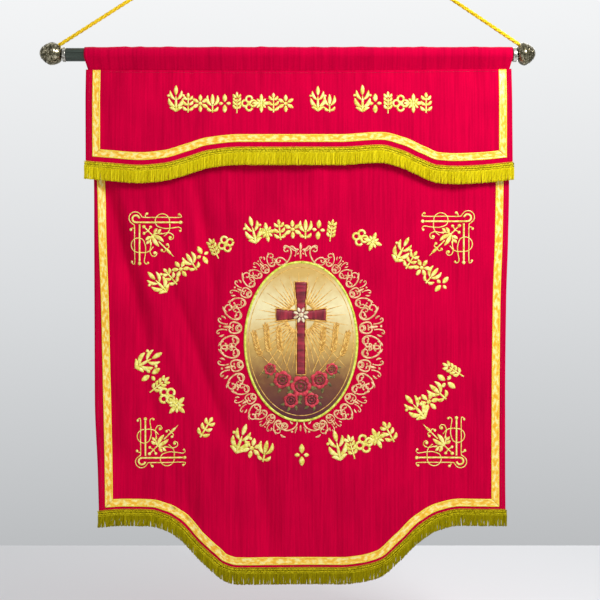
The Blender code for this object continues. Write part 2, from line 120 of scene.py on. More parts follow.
PANEL_CREASES = (                   # finer than the solids': same columns
    (-356.0, 240.0, -285.0, 540.0, 10.0, 2.0),
    (-232.0, 435.0, -138.0, 705.0, 11.0, 2.0),
    (-188.0, 235.0, -149.0, 485.0, 10.0, 1.8),
    (-74.0, 765.0, -47.0, 925.0, 12.0, 2.0),
    (-211.0, 755.0, -206.0, 875.0, 11.0, 1.6),
    (-366.0, 245.0, -318.0, 420.0, 9.0, 1.6),
    (-332.0, 250.0, -262.0, 520.0, 10.0, -1.4),
    (-300.0, 230.0, -256.0, 380.0, 9.0, 1.2),
    (-246.0, 215.0, -205.0, 395.0, 10.0, 1.5),
    (-214.0, 225.0, -168.0, 430.0, 9.0, -1.2),
    (-150.0, 205.0, -128.0, 340.0, 9.0, 1.3),
    (-120.0, 200.0, -112.0, 290.0, 9.0, 1.0),
    (-52.0, 200.0, -44.0, 300.0, 10.0, 1.2),
    (42.0, 200.0, 40.0, 300.0, 12.0, -1.4),
    (96.0, 200.0, 104.0, 330.0, 10.0, 1.0),
    (168.0, 215.0, 160.0, 360.0, 12.0, 1.1),
    (232.0, 235.0, 226.0, 420.0, 12.0, -1.0),
    (300.0, 240.0, 290.0, 470.0, 14.0, 1.2),
    (-300.0, 560.0, -240.0, 760.0, 12.0, 1.5),
    (-262.0, 470.0, -190.0, 690.0, 10.0, -1.4),
    (-350.0, 600.0, -330.0, 850.0, 12.0, 1.4),
    (-228.0, 770.0, -236.0, 880.0, 9.0, 1.8),
    (-178.0, 730.0, -176.0, 905.0, 10.0, -1.6),
    (-120.0, 740.0, -110.0, 940.0, 10.0, 1.6),
    (-20.0, 790.0, -22.0, 950.0, 10.0, -1.4),
    (70.0, 770.0, 78.0, 950.0, 12.0, 1.3),
    (150.0, 720.0, 146.0, 930.0, 12.0, 1.2),
    (214.0, 640.0, 204.0, 890.0, 12.0, -1.2),
    (320.0, 560.0, 316.0, 850.0, 14.0, 1.2),
)
CREASE_STRENGTH = 2.0
PANEL_WAVE_DEPTH = 2.5
PANEL_WAVE_LENGTH = 255.0
VALANCE_FOLDS = (
    (-324.0, 30.0, -318.0, 200.0, 30.0, -2.5),
    (-280.0, 40.0, -235.0, 110.0, 26.0, 2.5),
    (-143.0, 25.0, -141.0, 120.0, 24.0, 2.0),
    (-20.0, 25.0, -20.0, 110.0, 24.0, 2.0),
    (122.0, 25.0, 124.0, 110.0, 24.0, 2.0),
    (300.0, 60.0, 305.0, 210.0, 40.0, -2.5),
)
VALANCE_PUCKERS = (                 # (x, length below the seam, width, depth)
    (-372.0, 30.0, 7.0, 1.0), (-345.0, 42.0, 9.0, 1.1), (-320.0, 34.0, 7.0, -0.9),
    (-292.0, 38.0, 7.0, 1.4), (-268.0, 26.0, 6.0, 0.9), (-245.0, 40.0, 7.0, 1.5),
    (-222.0, 24.0, 6.0, -0.8), (-200.0, 36.0, 7.0, 1.5), (-170.0, 26.0, 6.0, 0.9),
    (-141.0, 44.0, 7.0, 1.7), (-119.0, 30.0, 6.0, 1.2), (-95.0, 26.0, 6.0, -0.8),
    (-70.0, 38.0, 7.0, 1.5), (-47.0, 30.0, 6.0, 1.2), (-26.0, 26.0, 6.0, -0.7),
    (-6.0, 36.0, 7.0, 1.4), (28.0, 38.0, 7.0, 1.5), (52.0, 24.0, 6.0, 0.9),
    (70.0, 32.0, 7.0, 1.2), (96.0, 26.0, 6.0, -0.8), (122.0, 42.0, 7.0, 1.6),
    (152.0, 26.0, 7.0, 0.9), (185.0, 32.0, 8.0, 1.1), (222.0, 24.0, 7.0, -0.8),
    (258.0, 34.0, 8.0, 1.1), (296.0, 26.0, 8.0, 0.9), (335.0, 32.0, 8.0, 1.0),
    (368.0, 26.0, 8.0, 0.8),
)
VALANCE_SEAM_OFFSET = 2.9
VALANCE_HEM_OFFSET = 10.0
VALANCE_FALL = 70.0
MEDALLION_CENTRE = (9.4, 540.5)
MEDALLION_HALF = (106.0, 150.0)
MEDALLION_CALM = 1.28
MEDALLION_BLEND = 0.45
CASING_CREASES = (                  # (x at the front, slant, width, depth): diagonal pulls
    (-330.0, 26.0, 9.0, 0.8), (-300.0, 34.0, 10.0, -0.7), (-243.0, 14.0, 8.0, 0.8),
    (-150.0, -18.0, 9.0, 0.5), (-68.0, 22.0, 9.0, 0.8), (30.0, 16.0, 9.0, 0.5),
    (128.0, -20.0, 9.0, 0.6), (236.0, 20.0, 10.0, 0.5), (330.0, 18.0, 10.0, 0.6),
)

CORD_ROUTE = (                      # (x, z), mm, from the left finial over the hook to the right
    (-451.0, -278.0), (-444.0, -273.5), (-380.0, -232.6), (-300.0, -181.5), (-210.0, -124.2),
    (-130.0, -73.2), (-75.0, -38.3), (-40.0, -16.3), (-20.0, -4.2), (-9.0, 1.5),
    (0.0, 3.75), (9.0, 1.3), (20.0, -4.9), (40.0, -17.7), (75.0, -41.1),
    (130.0, -78.0), (200.0, -125.2), (280.0, -179.2), (350.0, -226.4), (416.5, -271.2),
    (423.0, -275.6),
)


# ------------ numbers and curves

def eased(rows: Rows, at: Array | float, column: int = 1) -> Array:
    """Read a table's column at places along its first, on a smooth line with no overshoot.

    Args:
        rows: the table, its first column rising.
        at: one place or an array of them.
        column: the column to read.

    Returns:
        The values at those places, held level past the table's ends.
    """
    xs = np.array([row[0] for row in rows])
    ys = np.array([row[column] for row in rows])
    slopes = np.diff(ys) / np.diff(xs)
    tangents = np.concatenate(([slopes[0]], np.zeros(len(xs) - 2), [slopes[-1]]))
    before, after = slopes[:-1], slopes[1:]
    rising = before * after > 0
    total = np.where(rising, before + after, 1.0)
    tangents[1:-1] = np.where(rising, 2 * before * after / total, 0.0)
    place = np.clip(np.asarray(at, dtype=float), xs[0], xs[-1])
    cell = np.clip(np.searchsorted(xs, place, side="right") - 1, 0, len(xs) - 2)
    width = xs[cell + 1] - xs[cell]
    t = (place - xs[cell]) / width
    rise = ys[cell + 1] - ys[cell]
    start, end = tangents[cell] * width, tangents[cell + 1] * width
    return (ys[cell] + start * t + (3 * rise - 2 * start - end) * t ** 2
            + (start + end - 2 * rise) * t ** 3)


def smooth_step(low: float, high: float, value: Array | float) -> Array:
    """Rise from 0 at low to 1 at high, with no corner."""
    t = np.clip((np.asarray(value, dtype=float) - low) / (high - low), 0.0, 1.0)
    return t * t * (3 - 2 * t)


def folds_depth(folds: Rows, x: Array, drop: Array) -> Array:
    """Add up a table's folds: how far back they push the cloth at each place, in mm.

    Args:
        folds: rows of top x, top drop, bottom x, bottom drop, width and depth.
        x: places across, in mm.
        drop: places down, in mm.

    Returns:
        The depth at each place, in mm.
    """
    depth = np.zeros(np.broadcast(x, drop).shape)
    for top_x, top_drop, bottom_x, bottom_drop, width, fold_depth in folds:
        along = (drop - top_drop) / (bottom_drop - top_drop)
        fade = smooth_step(-0.25, 0.25, along) * smooth_step(1.25, 0.75, along)
        middle = top_x + (bottom_x - top_x) * along
        depth = depth + fold_depth * fade * np.exp(-((x - middle) / width) ** 2)
    return depth


def smooth_noise(at: Array, seed: int, length: float) -> Array:
    """Return a soft random line, from -1 to 1, with turns about one length apart.

    Args:
        at: one place or an array of them.
        seed: picks the draws.
        length: the distance between two turns.

    Returns:
        The values at those places.
    """
    values = np.random.default_rng(seed).uniform(-1, 1, 512)
    place = np.asarray(at, dtype=float) / length
    cell = np.floor(place).astype(int)
    t = place - cell
    t = t * t * (3 - 2 * t)
    return values[cell % 512] * (1 - t) + values[(cell + 1) % 512] * t


def distances(points: Array) -> Array:
    """Return how far along a line of points each of them lies."""
    steps = np.linalg.norm(np.diff(points, axis=0), axis=1)
    return np.concatenate(([0.0], np.cumsum(steps)))


def resample(points: Array, spacing: float) -> Array:
    """Return points evenly spaced, about one spacing apart, along a line of points.

    Args:
        points: the points, in order.
        spacing: the distance wanted between two of them.

    Returns:
        The new points.
    """
    lengths = distances(points)
    count = max(2, int(round(lengths[-1] / spacing)) + 1)
    targets = np.linspace(0.0, lengths[-1], count)
    return np.stack([np.interp(targets, lengths, points[:, k]) for k in range(points.shape[1])], axis=1)


def through(route: Rows, parts: int = 20) -> Array:
    """Return a smooth curve through every point of a route, with so many parts a span.

    Args:
        route: the points to go through.
        parts: how many parts a span is cut into.

    Returns:
        The curve's points.
    """
    points = np.array(route, dtype=float)
    ends = np.vstack([2 * points[0] - points[1], points, 2 * points[-1] - points[-2]])
    t = (np.arange(parts) / parts)[:, None]
    spans = []
    for p0, p1, p2, p3 in zip(ends, ends[1:], ends[2:], ends[3:]):
        spans.append(0.5 * (2 * p1 + (p2 - p0) * t + (2 * p0 - 5 * p1 + 4 * p2 - p3) * t ** 2
                            + (3 * p1 - p0 - 3 * p2 + p3) * t ** 3))
    return np.vstack([*spans, points[-1:]])


# ------------ the two cloths' surfaces

class Column(IntEnum):
    """The columns of a cloth's side rows, after the drop."""

    LEFT_EDGE = 1
    LEFT_RIBBON = 2
    RIGHT_RIBBON = 3
    RIGHT_EDGE = 4


def medallion_radius(x: Array, drop: Array) -> Array:
    """Return how far out places lie on the medallion, as a share of the way to its edge."""
    return np.hypot((x - MEDALLION_CENTRE[0]) / MEDALLION_HALF[0],
                    (drop - MEDALLION_CENTRE[1]) / MEDALLION_HALF[1])


class ClothSurface:
    """A cloth's outline, read from its tables, and its front face."""

    hem_rows: Rows
    side_rows: Rows
    ribbon_gap: float                # from the fringe's top edge up to the ribbon, mm

    def hem(self, x: Array | float) -> Array:
        """Return the drop of the fringe's top edge."""
        return eased(self.hem_rows, x)

    def edge(self, drop: Array | float, column: Column) -> Array:
        """Return the x of a side edge or of a ribbon's middle."""
        return eased(self.side_rows, drop, column)

    def foot(self, column: Column) -> float:
        """Return the x of a side edge or of a ribbon's middle at its lowest row."""
        return float(self.edge(self.side_rows[-1][0], column))

    def across(self, drop: Array | float, share: Array) -> Array:
        """Return the x at shares of the cloth's width, from its left edge."""
        left = self.edge(drop, Column.LEFT_EDGE)
        return left + (self.edge(drop, Column.RIGHT_EDGE) - left) * share

    def front(self, x: Array, drop: Array) -> Array:
        """Return the front face's y at places in mm, in metres."""
        raise NotImplementedError


class PanelSurface(ClothSurface):
    """Where the main panel's front face lies below the seam."""

    hem_rows = PANEL_HEM_ROWS
    side_rows = PANEL_SIDE_ROWS
    ribbon_gap = 5.5

    def front(self, x: Array, drop: Array) -> Array:
        """Return the front face's y at places in mm, in metres.

        Args:
            x: places across, in mm.
            drop: places down, in mm.

        Returns:
            The y at each place, in metres.
        """
        wave = PANEL_WAVE_DEPTH * np.sin(2 * np.pi * (x + 40) / PANEL_WAVE_LENGTH)
        depth = (folds_depth(PANEL_FOLDS, x, drop)
                 + CREASE_STRENGTH * folds_depth(PANEL_CREASES, x, drop))
        depth = depth + wave * smooth_step(250, 900, drop)
        calm = smooth_step(MEDALLION_CALM, MEDALLION_CALM + MEDALLION_BLEND, medallion_radius(x, drop))
        depth = depth * calm * smooth_step(60, 200, drop)
        return (depth - CLOTH_THICKNESS / 2) * MM


class ValanceSurface(ClothSurface):
    """Where the valance's front face lies."""

    hem_rows = VALANCE_HEM_ROWS
    side_rows = VALANCE_SIDE_ROWS
    ribbon_gap = 10.5

    def front(self, x: Array, drop: Array) -> Array:
        """Return the front face's y at places in mm, in metres.

        Args:
            x: places across, in mm.
            drop: places down, in mm.

        Returns:
            The y at each place, in metres.
        """
        below = drop - eased(SEAM_ROWS, x)
        fall = np.maximum(smooth_step(-VALANCE_FALL, VALANCE_FALL, below) * 2 - 1, 0)
        offset = VALANCE_SEAM_OFFSET + (VALANCE_HEM_OFFSET - VALANCE_SEAM_OFFSET) * fall
        puckers = 0.0
        for middle, length, width, depth in VALANCE_PUCKERS:
            fade = smooth_step(0, 7, below) * smooth_step(length * 1.5, length * 0.2, below)
            puckers = puckers + depth * fade * np.exp(-((x - middle) / width) ** 2)
        folds = folds_depth(VALANCE_FOLDS, x, drop) * smooth_step(30, 90, drop)
        return (folds + puckers - offset - CLOTH_THICKNESS / 2) * MM


def world_points(x: Array, y: Array, drop: Array) -> Array:
    """Turn places in mm across and down, with y in metres, into points of the frame."""
    return np.stack([x * MM, y + np.zeros_like(x), ROD_AXIS_Z - drop * MM], axis=-1)


# ------------ meshes

def uv_grid(u: Array, v: Array) -> Array:
    """Return a grid's UVs from its rows' and its columns' places."""
    return np.stack(np.broadcast_arrays(u, v), axis=-1)


def add_object(name: str, data: bpy.types.ID) -> Object:
    """Put a new object with its data into the scene.

    Args:
        name: the object's name.
        data: what it holds.

    Returns:
        The object.
    """
    made = bpy.data.objects.new(name, data)
    bpy.context.scene.collection.objects.link(made)
    return made


class MeshMaker:
    """Collects the grids of one piece, with a UV in metres at every corner."""

    def __init__(self) -> None:
        """Start with nothing."""
        self.points: list[Array] = []
        self.quads: list[Array] = []
        self.quad_uvs: list[Array] = []
        self.caps: list[list[int]] = []
        self.count = 0

    def grid(self, points: Array, uvs: Array, ring: bool = False, caps: bool = False) -> None:
        """Add a grid of points.

        Args:
            points: rows, columns, 3.
            uvs: rows, columns, 2, with one more column when the grid is a ring.
            ring: join the last column to the first.
            caps: close a ring's first and last rows.
        """
        rows, columns = points.shape[:2]
        index = np.arange(rows * columns).reshape(rows, columns) + self.count
        if ring:
            index = np.concatenate([index, index[:, :1]], axis=1)
        corners = (index[:-1, :-1], index[:-1, 1:], index[1:, 1:], index[1:, :-1])
        self.quads.append(np.stack(corners, axis=-1).reshape(-1, 4))
        corner_uvs = (uvs[:-1, :-1], uvs[:-1, 1:], uvs[1:, 1:], uvs[1:, :-1])
        self.quad_uvs.append(np.stack(corner_uvs, axis=-2).reshape(-1, 4, 2))
        self.points.append(points.reshape(-1, 3))
        if caps:
            self.caps.append([int(i) for i in index[0, :columns][::-1]])
            self.caps.append([int(i) for i in index[-1, :columns]])
        self.count += rows * columns

    def tube(self, line: Array, radii: Array | float, sides: int = 6, seed: float = 0.0) -> None:
        """Add a capped tube along a line of points in metres.

        Args:
            line: count, 3.
            radii: one radius, or one for each point.
            sides: points round the tube.
            seed: added to u, so that each strand can take its own tone.
        """
        tangent = np.gradient(line, axis=0)
        tangent /= np.linalg.norm(tangent, axis=1)[:, None] + 1e-12
        level = np.where(np.abs(tangent[:, 1:2]) < 0.9, [[0.0, 1.0, 0.0]], [[1.0, 0.0, 0.0]])
        side = np.cross(tangent, level)
        side /= np.linalg.norm(side, axis=1)[:, None]
        other = np.cross(side, tangent)
        turns = 2 * np.pi * np.arange(sides) / sides
        radii = np.broadcast_to(np.asarray(radii, dtype=float), (len(line),))[:, None, None]
        ring = (line[:, None, :] + radii * (side[:, None, :] * np.cos(turns)[None, :, None]
                                            + other[:, None, :] * np.sin(turns)[None, :, None]))
        along = distances(line) + seed
        uvs = uv_grid(along[:, None], (np.arange(sides + 1) / sides)[None, :])
        self.grid(ring, uvs, ring=True, caps=True)

    def build(self, name: str, finish: "Finish", smooth: bool = True) -> Object:
        """Make the piece, dress it in its finish and let it ride on the banner.

        Args:
            name: the piece's name.
            finish: what it is made of.
            smooth: shade its faces smooth.

        Returns:
            The new object.
        """
        points = np.concatenate(self.points)
        quads = np.concatenate(self.quads)
        mesh = bpy.data.meshes.new(name)
        mesh.from_pydata(points.tolist(), [], quads.tolist() + self.caps)
        corners = np.zeros((len(mesh.loops), 2))
        corners[:len(quads) * 4] = np.concatenate(self.quad_uvs).reshape(-1, 2)
        layer = mesh.uv_layers.new(name="UVMap")
        layer.data.foreach_set("uv", corners.ravel())
        mesh.polygons.foreach_set("use_smooth", [smooth] * len(mesh.polygons))
        mesh.update()
        item = add_object(name, mesh)
        mesh.materials.append(finish.material())
        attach(item, BODY)
        LOG.info("%s: %d faces, %s", name, len(mesh.polygons), finish.name)
        return item


# ------------ finishes

def linear(colour: str) -> tuple[float, float, float, float]:
    """Turn an sRGB hex colour into linear red, green, blue and alpha."""
    values = [int(colour[i:i + 2], 16) / 255 for i in (1, 3, 5)]
    return (*[v / 12.92 if v <= 0.04045 else ((v + 0.055) / 1.055) ** 2.4 for v in values], 1.0)


def add_node(tree: NodeTree, kind: str, settings: dict | None = None, links: dict | None = None,
             stops: Sequence[tuple[float, str]] = (), **attributes: object) -> Node:
    """Add a node with its settings and links.

    Args:
        tree: the material's node tree.
        kind: the node's type, without the ShaderNode that starts it.
        settings: values by input name or number.
        links: output sockets by input name or number.
        stops: a colour ramp's positions and hex colours.
        attributes: the node's own settings, such as operation.

    Returns:
        The new node.
    """
    made = tree.nodes.new("ShaderNode" + kind)
    for key, value in attributes.items():
        setattr(made, key, value)
    for socket, value in (settings or {}).items():
        made.inputs[socket].default_value = value
    for socket, source in (links or {}).items():
        tree.links.new(source, made.inputs[socket])
    for k, (position, colour) in enumerate(stops):
        elements = made.color_ramp.elements
        element = elements[k] if k < len(elements) else elements.new(position)
        element.position = position
        element.color = linear(colour)
    return made


@dataclass(frozen=True)
class Finish:
    """A surface: what it is made of and how it looks."""

    name: str
    slot: str

    def material(self) -> bpy.types.Material:
        """Return the finish's material, made on its first use.

        Returns:
            The material.
        """
        found = bpy.data.materials.get(self.name)
        if found:
            return found
        made = bpy.data.materials.new(self.name)
        made.use_nodes = True
        self.dress(made.node_tree, made.node_tree.nodes["Principled BSDF"])
        return made

    def dress(self, tree: NodeTree, shader: Node) -> None:
        """Set the shader and its textures."""
        raise NotImplementedError

    def place(self, tree: NodeTree, across: float, down: float, turn: float = 0.0) -> Socket:
        """Return UV places scaled so that one unit is so many mm across and down.

        Args:
            tree: the material's node tree.
            across: mm to a unit across.
            down: mm to a unit down.
            turn: how far the pattern is turned, in radians.

        Returns:
            The scaled places.
        """
        uv = add_node(tree, "UVMap")
        mapped = add_node(tree, "Mapping",
                          {"Scale": (1 / (across * MM), 1 / (down * MM), 1.0),
                           "Rotation": (0.0, 0.0, turn)}, {"Vector": uv.outputs[0]})
        return mapped.outputs[0]

    def colour_by(self, tree: NodeTree, shader: Node,
                  tone: Socket, stops: Sequence[tuple[float, str]]) -> None:
        """Colour the surface by a tone from 0 to 1, through a few colours."""
        ramp = add_node(tree, "ValToRGB", links={0: tone}, stops=stops)
        tree.links.new(ramp.outputs[0], shader.inputs["Base Color"])

    def raise_surface(self, tree: NodeTree, shader: Node,
                      height: Socket, depth_mm: float, strength: float) -> None:
        """Give the surface a relief of so many mm."""
        bump = add_node(tree, "Bump",
                        {"Distance": depth_mm * MM, "Strength": strength}, {"Height": height})
        tree.links.new(bump.outputs[0], shader.inputs["Normal"])


def set_shader(shader: Node, **values: object) -> None:
    """Set the shader's own sockets; an underscore in a name stands for a space."""
    for key, value in values.items():
        shader.inputs[key.replace("_", " ")].default_value = value


@dataclass(frozen=True)
class RibbedPolyester(Finish):
    """Dyed polyester faille, woven with a fine upright rib and pressed: matt, softly sheeny.

    Its threads are 0.3 mm, too fine to show, so the rib is drawn at 2.8 mm, as the slubs that
    group them are seen.
    """

    colour: str = "#D0003A"
    deep: str = "#B00031"
    rib_mm: float = 2.8
    slub_mm: float = 4.0
    slub_length_mm: float = 130.0
    cloud_mm: float = 90.0

    def dress(self, tree: NodeTree, shader: Node) -> None:
        """Rib, long slubs and a slow unevenness of the dye.

        Args:
            tree: the material's node tree.
            shader: its Principled BSDF.
        """
        slubs = add_node(tree, "TexNoise", {"Scale": 1.0, "Detail": 3.0},
                         {"Vector": self.place(tree, self.slub_mm, self.slub_length_mm)})
        clouds = add_node(tree, "TexNoise", {"Scale": 1.0, "Detail": 2.0},
                          {"Vector": self.place(tree, self.cloud_mm, self.cloud_mm)})
        rib = add_node(tree, "TexWave",
                       {"Scale": WAVE_TURN, "Distortion": 0.6, "Detail": 1.0, "Detail Scale": 0.3},
                       {"Vector": self.place(tree, self.rib_mm, self.rib_mm)}, wave_type="BANDS",
                       bands_direction="X")
        tone = add_node(tree, "Math", {1: 0.5},
                        {0: clouds.outputs[0], 2: slubs.outputs[0]}, operation="MULTIPLY_ADD")
        self.colour_by(tree, shader, tone.outputs[0], ((0.45, self.deep), (0.95, self.colour)))
        relief = add_node(tree, "Math", {1: 0.55},
                          {0: rib.outputs[1], 2: slubs.outputs[0]}, operation="MULTIPLY_ADD")
        self.raise_surface(tree, shader, relief.outputs[0], 0.35, 0.5)
        set_shader(shader, Roughness=0.72, Sheen_Weight=0.08, Sheen_Roughness=0.45,
                   Sheen_Tint=linear("#FF0A46"), Specular_IOR_Level=0.2, Specular_Tint=linear("#FF2850"))


@dataclass(frozen=True)
class SatinRibbon(Finish):
    """Gold polyester satin ribbon, woven with a dense selvedge: glossy, with crushed lights."""

    pale: str = "#FFEC92"
    middle: str = "#FCCB3C"
    deep: str = "#F2B020"
    selvedge: str = "#FFEE3C"
    painted_crush_mm: float = 11.0
    weft_mm: float = 1.5

    def dress(self, tree: NodeTree, shader: Node) -> None:
        """Satin floats mottled with painted crushed light and shade, between two bright woven edges.

        Args:
            tree: the material's node tree.
            shader: its Principled BSDF.
        """
        painted_crush_light = add_node(tree, "TexNoise", {"Scale": 1.0, "Detail": 4.0},
                           {"Vector": self.place(tree, self.painted_crush_mm, 380.0)})
        # deep and pale paint the crushed satin's shade and light over its middle gold
        colour = add_node(tree, "ValToRGB", links={0: painted_crush_light.outputs[0]},
                          stops=((0.38, self.deep), (0.48, self.middle), (0.58, self.pale)))
        uv = add_node(tree, "UVMap")
        across = add_node(tree, "SeparateXYZ", links={0: uv.outputs[0]})
        centred = add_node(tree, "Math", {1: 0.5}, {0: across.outputs[1]}, operation="SUBTRACT")
        side = add_node(tree, "Math", links={0: centred.outputs[0]}, operation="ABSOLUTE")
        edge = add_node(tree, "MapRange", {1: 0.36, 2: 0.42}, {0: side.outputs[0]})
        both = add_node(tree, "Mix", {7: linear(self.selvedge)},
                        {0: edge.outputs[0], 6: colour.outputs[0]}, data_type="RGBA")
        tree.links.new(both.outputs[2], shader.inputs["Base Color"])
        weft = add_node(tree, "TexWave", {"Scale": WAVE_TURN, "Distortion": 0.4},
                        {"Vector": self.place(tree, self.weft_mm, 1000.0)},
                        wave_type="BANDS", bands_direction="X")
        self.raise_surface(tree, shader, weft.outputs[1], 0.08, 0.4)
        set_shader(shader, Roughness=0.34, Sheen_Weight=0.2, Sheen_Roughness=0.3,
                   Sheen_Tint=linear("#FFE9A0"), Anisotropic=0.5, Specular_IOR_Level=0.6)


@dataclass(frozen=True)
class SpunYarn(Finish):
    """Viscose yarn, plied and twisted: silky, with a shadow line between its plies.

    u runs along the strand from its own starting number, so strands differ in tone.
    """

    pale: str
    middle: str
    deep: str
    ply_mm: float = 2.2
    roughness: float = 0.5

    def dress(self, tree: NodeTree, shader: Node) -> None:
        """Tone by strand, and plies that wind round it.

        Args:
            tree: the material's node tree.
            shader: its Principled BSDF.
        """
        uv = add_node(tree, "UVMap")
        split = add_node(tree, "SeparateXYZ", links={0: uv.outputs[0]})
        tone = add_node(tree, "TexNoise", {"Scale": 3.0, "Detail": 2.0}, {"Vector": uv.outputs[0]})
        along = add_node(tree, "Math", {1: 1 / (self.ply_mm * MM)},
                         {0: split.outputs[0], 2: split.outputs[1]}, operation="MULTIPLY_ADD")
        turned = add_node(tree, "CombineXYZ", links={0: along.outputs[0]})
        plies = add_node(tree, "TexWave", {"Scale": WAVE_TURN},
                         {"Vector": turned.outputs[0]}, wave_type="BANDS", bands_direction="X")
        # the plies' bands paint a shadow line in the grooves and a highlight on the crests, over the
        # strand's own random tone
        mixed = add_node(tree, "Math", {1: 0.22},
                         {0: plies.outputs[1], 2: tone.outputs[0]}, operation="MULTIPLY_ADD")
        self.colour_by(tree, shader, mixed.outputs[0],
                       ((0.38, self.deep), (0.58, self.middle), (0.82, self.pale)))
        self.raise_surface(tree, shader, plies.outputs[1], 0.25, 0.6)
        set_shader(shader, Roughness=self.roughness, Sheen_Weight=0.12, Sheen_Roughness=0.4,
                   Sheen_Tint=linear(self.pale), Specular_IOR_Level=0.35, Specular_Tint=linear(self.pale))


@dataclass(frozen=True)
class SatinStitch(Finish):
    """Rayon embroidery thread laid side by side across each stroke: lustrous and ribbed.

    The 0.4 mm threads are drawn at 1 mm so that they show.  u runs along the stroke and v
    across it, from 0 to 1.
    """

    pale: str
    middle: str
    deep: str
    thread_mm: float = 1.0
    roughness: float = 0.36

    def dress(self, tree: NodeTree, shader: Node) -> None:
        """Threads across the stroke and a change of light along it.

        Args:
            tree: the material's node tree.
            shader: its Principled BSDF.
        """
        threads = add_node(tree, "TexWave", {"Scale": WAVE_TURN, "Distortion": 0.8, "Detail": 1.0},
                           {"Vector": self.place(tree, self.thread_mm, 1000.0)}, wave_type="BANDS",
                           bands_direction="X")
        tone = add_node(tree, "TexNoise", {"Scale": 1.0, "Detail": 2.0},
                        {"Vector": self.place(tree, 7.0, 2000.0)})
        # deep paints shade between the threads and pale a highlight on them, over the thread's middle
        # colour; the tone noise paints the change of light along the stroke
        mixed = add_node(tree, "Math", {1: 0.25},
                         {0: threads.outputs[1], 2: tone.outputs[0]}, operation="MULTIPLY_ADD")
        self.colour_by(tree, shader, mixed.outputs[0],
                       ((0.36, self.deep), (0.56, self.middle), (0.80, self.pale)))
        self.raise_surface(tree, shader, threads.outputs[1], 0.15, 0.5)
        set_shader(shader, Roughness=self.roughness, Sheen_Weight=0.25, Sheen_Roughness=0.35,
                   Sheen_Tint=linear(self.pale), Specular_IOR_Level=0.55)


@dataclass(frozen=True)
class EnamelledTube(Finish):
    """Steel tube stove-enamelled a dark grey green: satin, with faint lengthwise rubbing."""

    colour: str = "#3B453D"
    rubbed: str = "#566058"
    dark: str = "#262D27"

    def dress(self, tree: NodeTree, shader: Node) -> None:
        """Lengthwise rubbing in colour and gloss.

        Args:
            tree: the material's node tree.
            shader: its Principled BSDF.
        """
        place = add_node(tree, "TexCoord")
        drawn = add_node(tree, "Mapping", {"Scale": (12.0, 420.0, 420.0)},
                         {"Vector": place.outputs["Object"]})
        rubbing = add_node(tree, "TexNoise", {"Scale": 1.0, "Detail": 5.0}, {"Vector": drawn.outputs[0]})
        self.colour_by(tree, shader, rubbing.outputs[0],
                       ((0.30, self.dark), (0.52, self.colour), (0.78, self.rubbed)))
        gloss = add_node(tree, "MapRange", {1: 0.3, 2: 0.7, 3: 0.30, 4: 0.48}, {0: rubbing.outputs[0]})
        tree.links.new(gloss.outputs[0], shader.inputs["Roughness"])
        self.raise_surface(tree, shader, rubbing.outputs[0], 0.05, 0.3)
        set_shader(shader, Metallic=0.35)


@dataclass(frozen=True)
class AntiqueBrass(Finish):
    """Cast brass, turned, chemically darkened and relieved: dark hollows, bright rubbed spots."""

    bright: str = "#D8CFB4"
    middle: str = "#6E6850"
    dark: str = "#26251B"
    grain_mm: float = 5.5

    def dress(self, tree: NodeTree, shader: Node) -> None:
        """Marbled patina over metal, rougher where it is dark.

        Args:
            tree: the material's node tree.
            shader: its Principled BSDF.
        """
        place = add_node(tree, "TexCoord")
        sized = add_node(tree, "Mapping", {"Scale": (1 / (self.grain_mm * MM),) * 3},
                         {"Vector": place.outputs["Object"]})
        marbling = add_node(tree, "TexNoise",
                            {"Scale": 1.0, "Detail": 6.0, "Roughness": 0.6, "Distortion": 1.4},
                            {"Vector": sized.outputs[0]})
        self.colour_by(tree, shader, marbling.outputs[0],
                       ((0.36, self.dark), (0.50, self.middle), (0.66, self.bright)))
        gloss = add_node(tree, "MapRange", {1: 0.35, 2: 0.65, 3: 0.42, 4: 0.18}, {0: marbling.outputs[0]})
        tree.links.new(gloss.outputs[0], shader.inputs["Roughness"])
        self.raise_surface(tree, shader, marbling.outputs[0], 0.25, 0.35)
        set_shader(shader, Metallic=1.0)


@dataclass(frozen=True)
class ShadedGround(Finish):
    """The medallion's ground: long cream and gold stitches that darken towards the foot."""

    light: str = "#F3E7B4"
    gold: str = "#D2AC5C"
    brown: str = "#7A4A28"
    wine: str = "#571424"
    stitch_mm: float = 2.2

    def dress(self, tree: NodeTree, shader: Node) -> None:
        """Stitches fan out from the middle: u is the angle times the half width.

        Args:
            tree: the material's node tree.
            shader: its Principled BSDF.
        """
        place = add_node(tree, "TexCoord")
        split = add_node(tree, "SeparateXYZ", links={0: place.outputs["Object"]})
        middle = ROD_AXIS_Z - MEDALLION_CENTRE[1] * MM
        half = MEDALLION_HALF[1] * MM
        height = add_node(tree, "MapRange", {1: middle - half, 2: middle + half}, {0: split.outputs[2]})
        mottle = add_node(tree, "TexNoise", {"Scale": 60.0, "Detail": 3.0},
                          {"Vector": place.outputs["Object"]})
        uneven = add_node(tree, "Math", {1: 0.16}, {0: mottle.outputs[0], 2: height.outputs[0]},
                          operation="MULTIPLY_ADD")
        self.colour_by(tree, shader, uneven.outputs[0],
                       ((0.14, self.wine), (0.34, self.brown), (0.56, self.gold), (0.80, self.light),
                        (1.0, self.gold)))
        threads = add_node(tree, "TexWave", {"Scale": WAVE_TURN, "Distortion": 1.0, "Detail": 1.0},
                           {"Vector": self.place(tree, self.stitch_mm, 30.0)}, wave_type="BANDS",
                           bands_direction="X")
        self.raise_surface(tree, shader, threads.outputs[1], 0.2, 0.5)
        set_shader(shader, Roughness=0.5, Sheen_Weight=0.2, Sheen_Roughness=0.4,
                   Sheen_Tint=linear("#FFF0C8"))


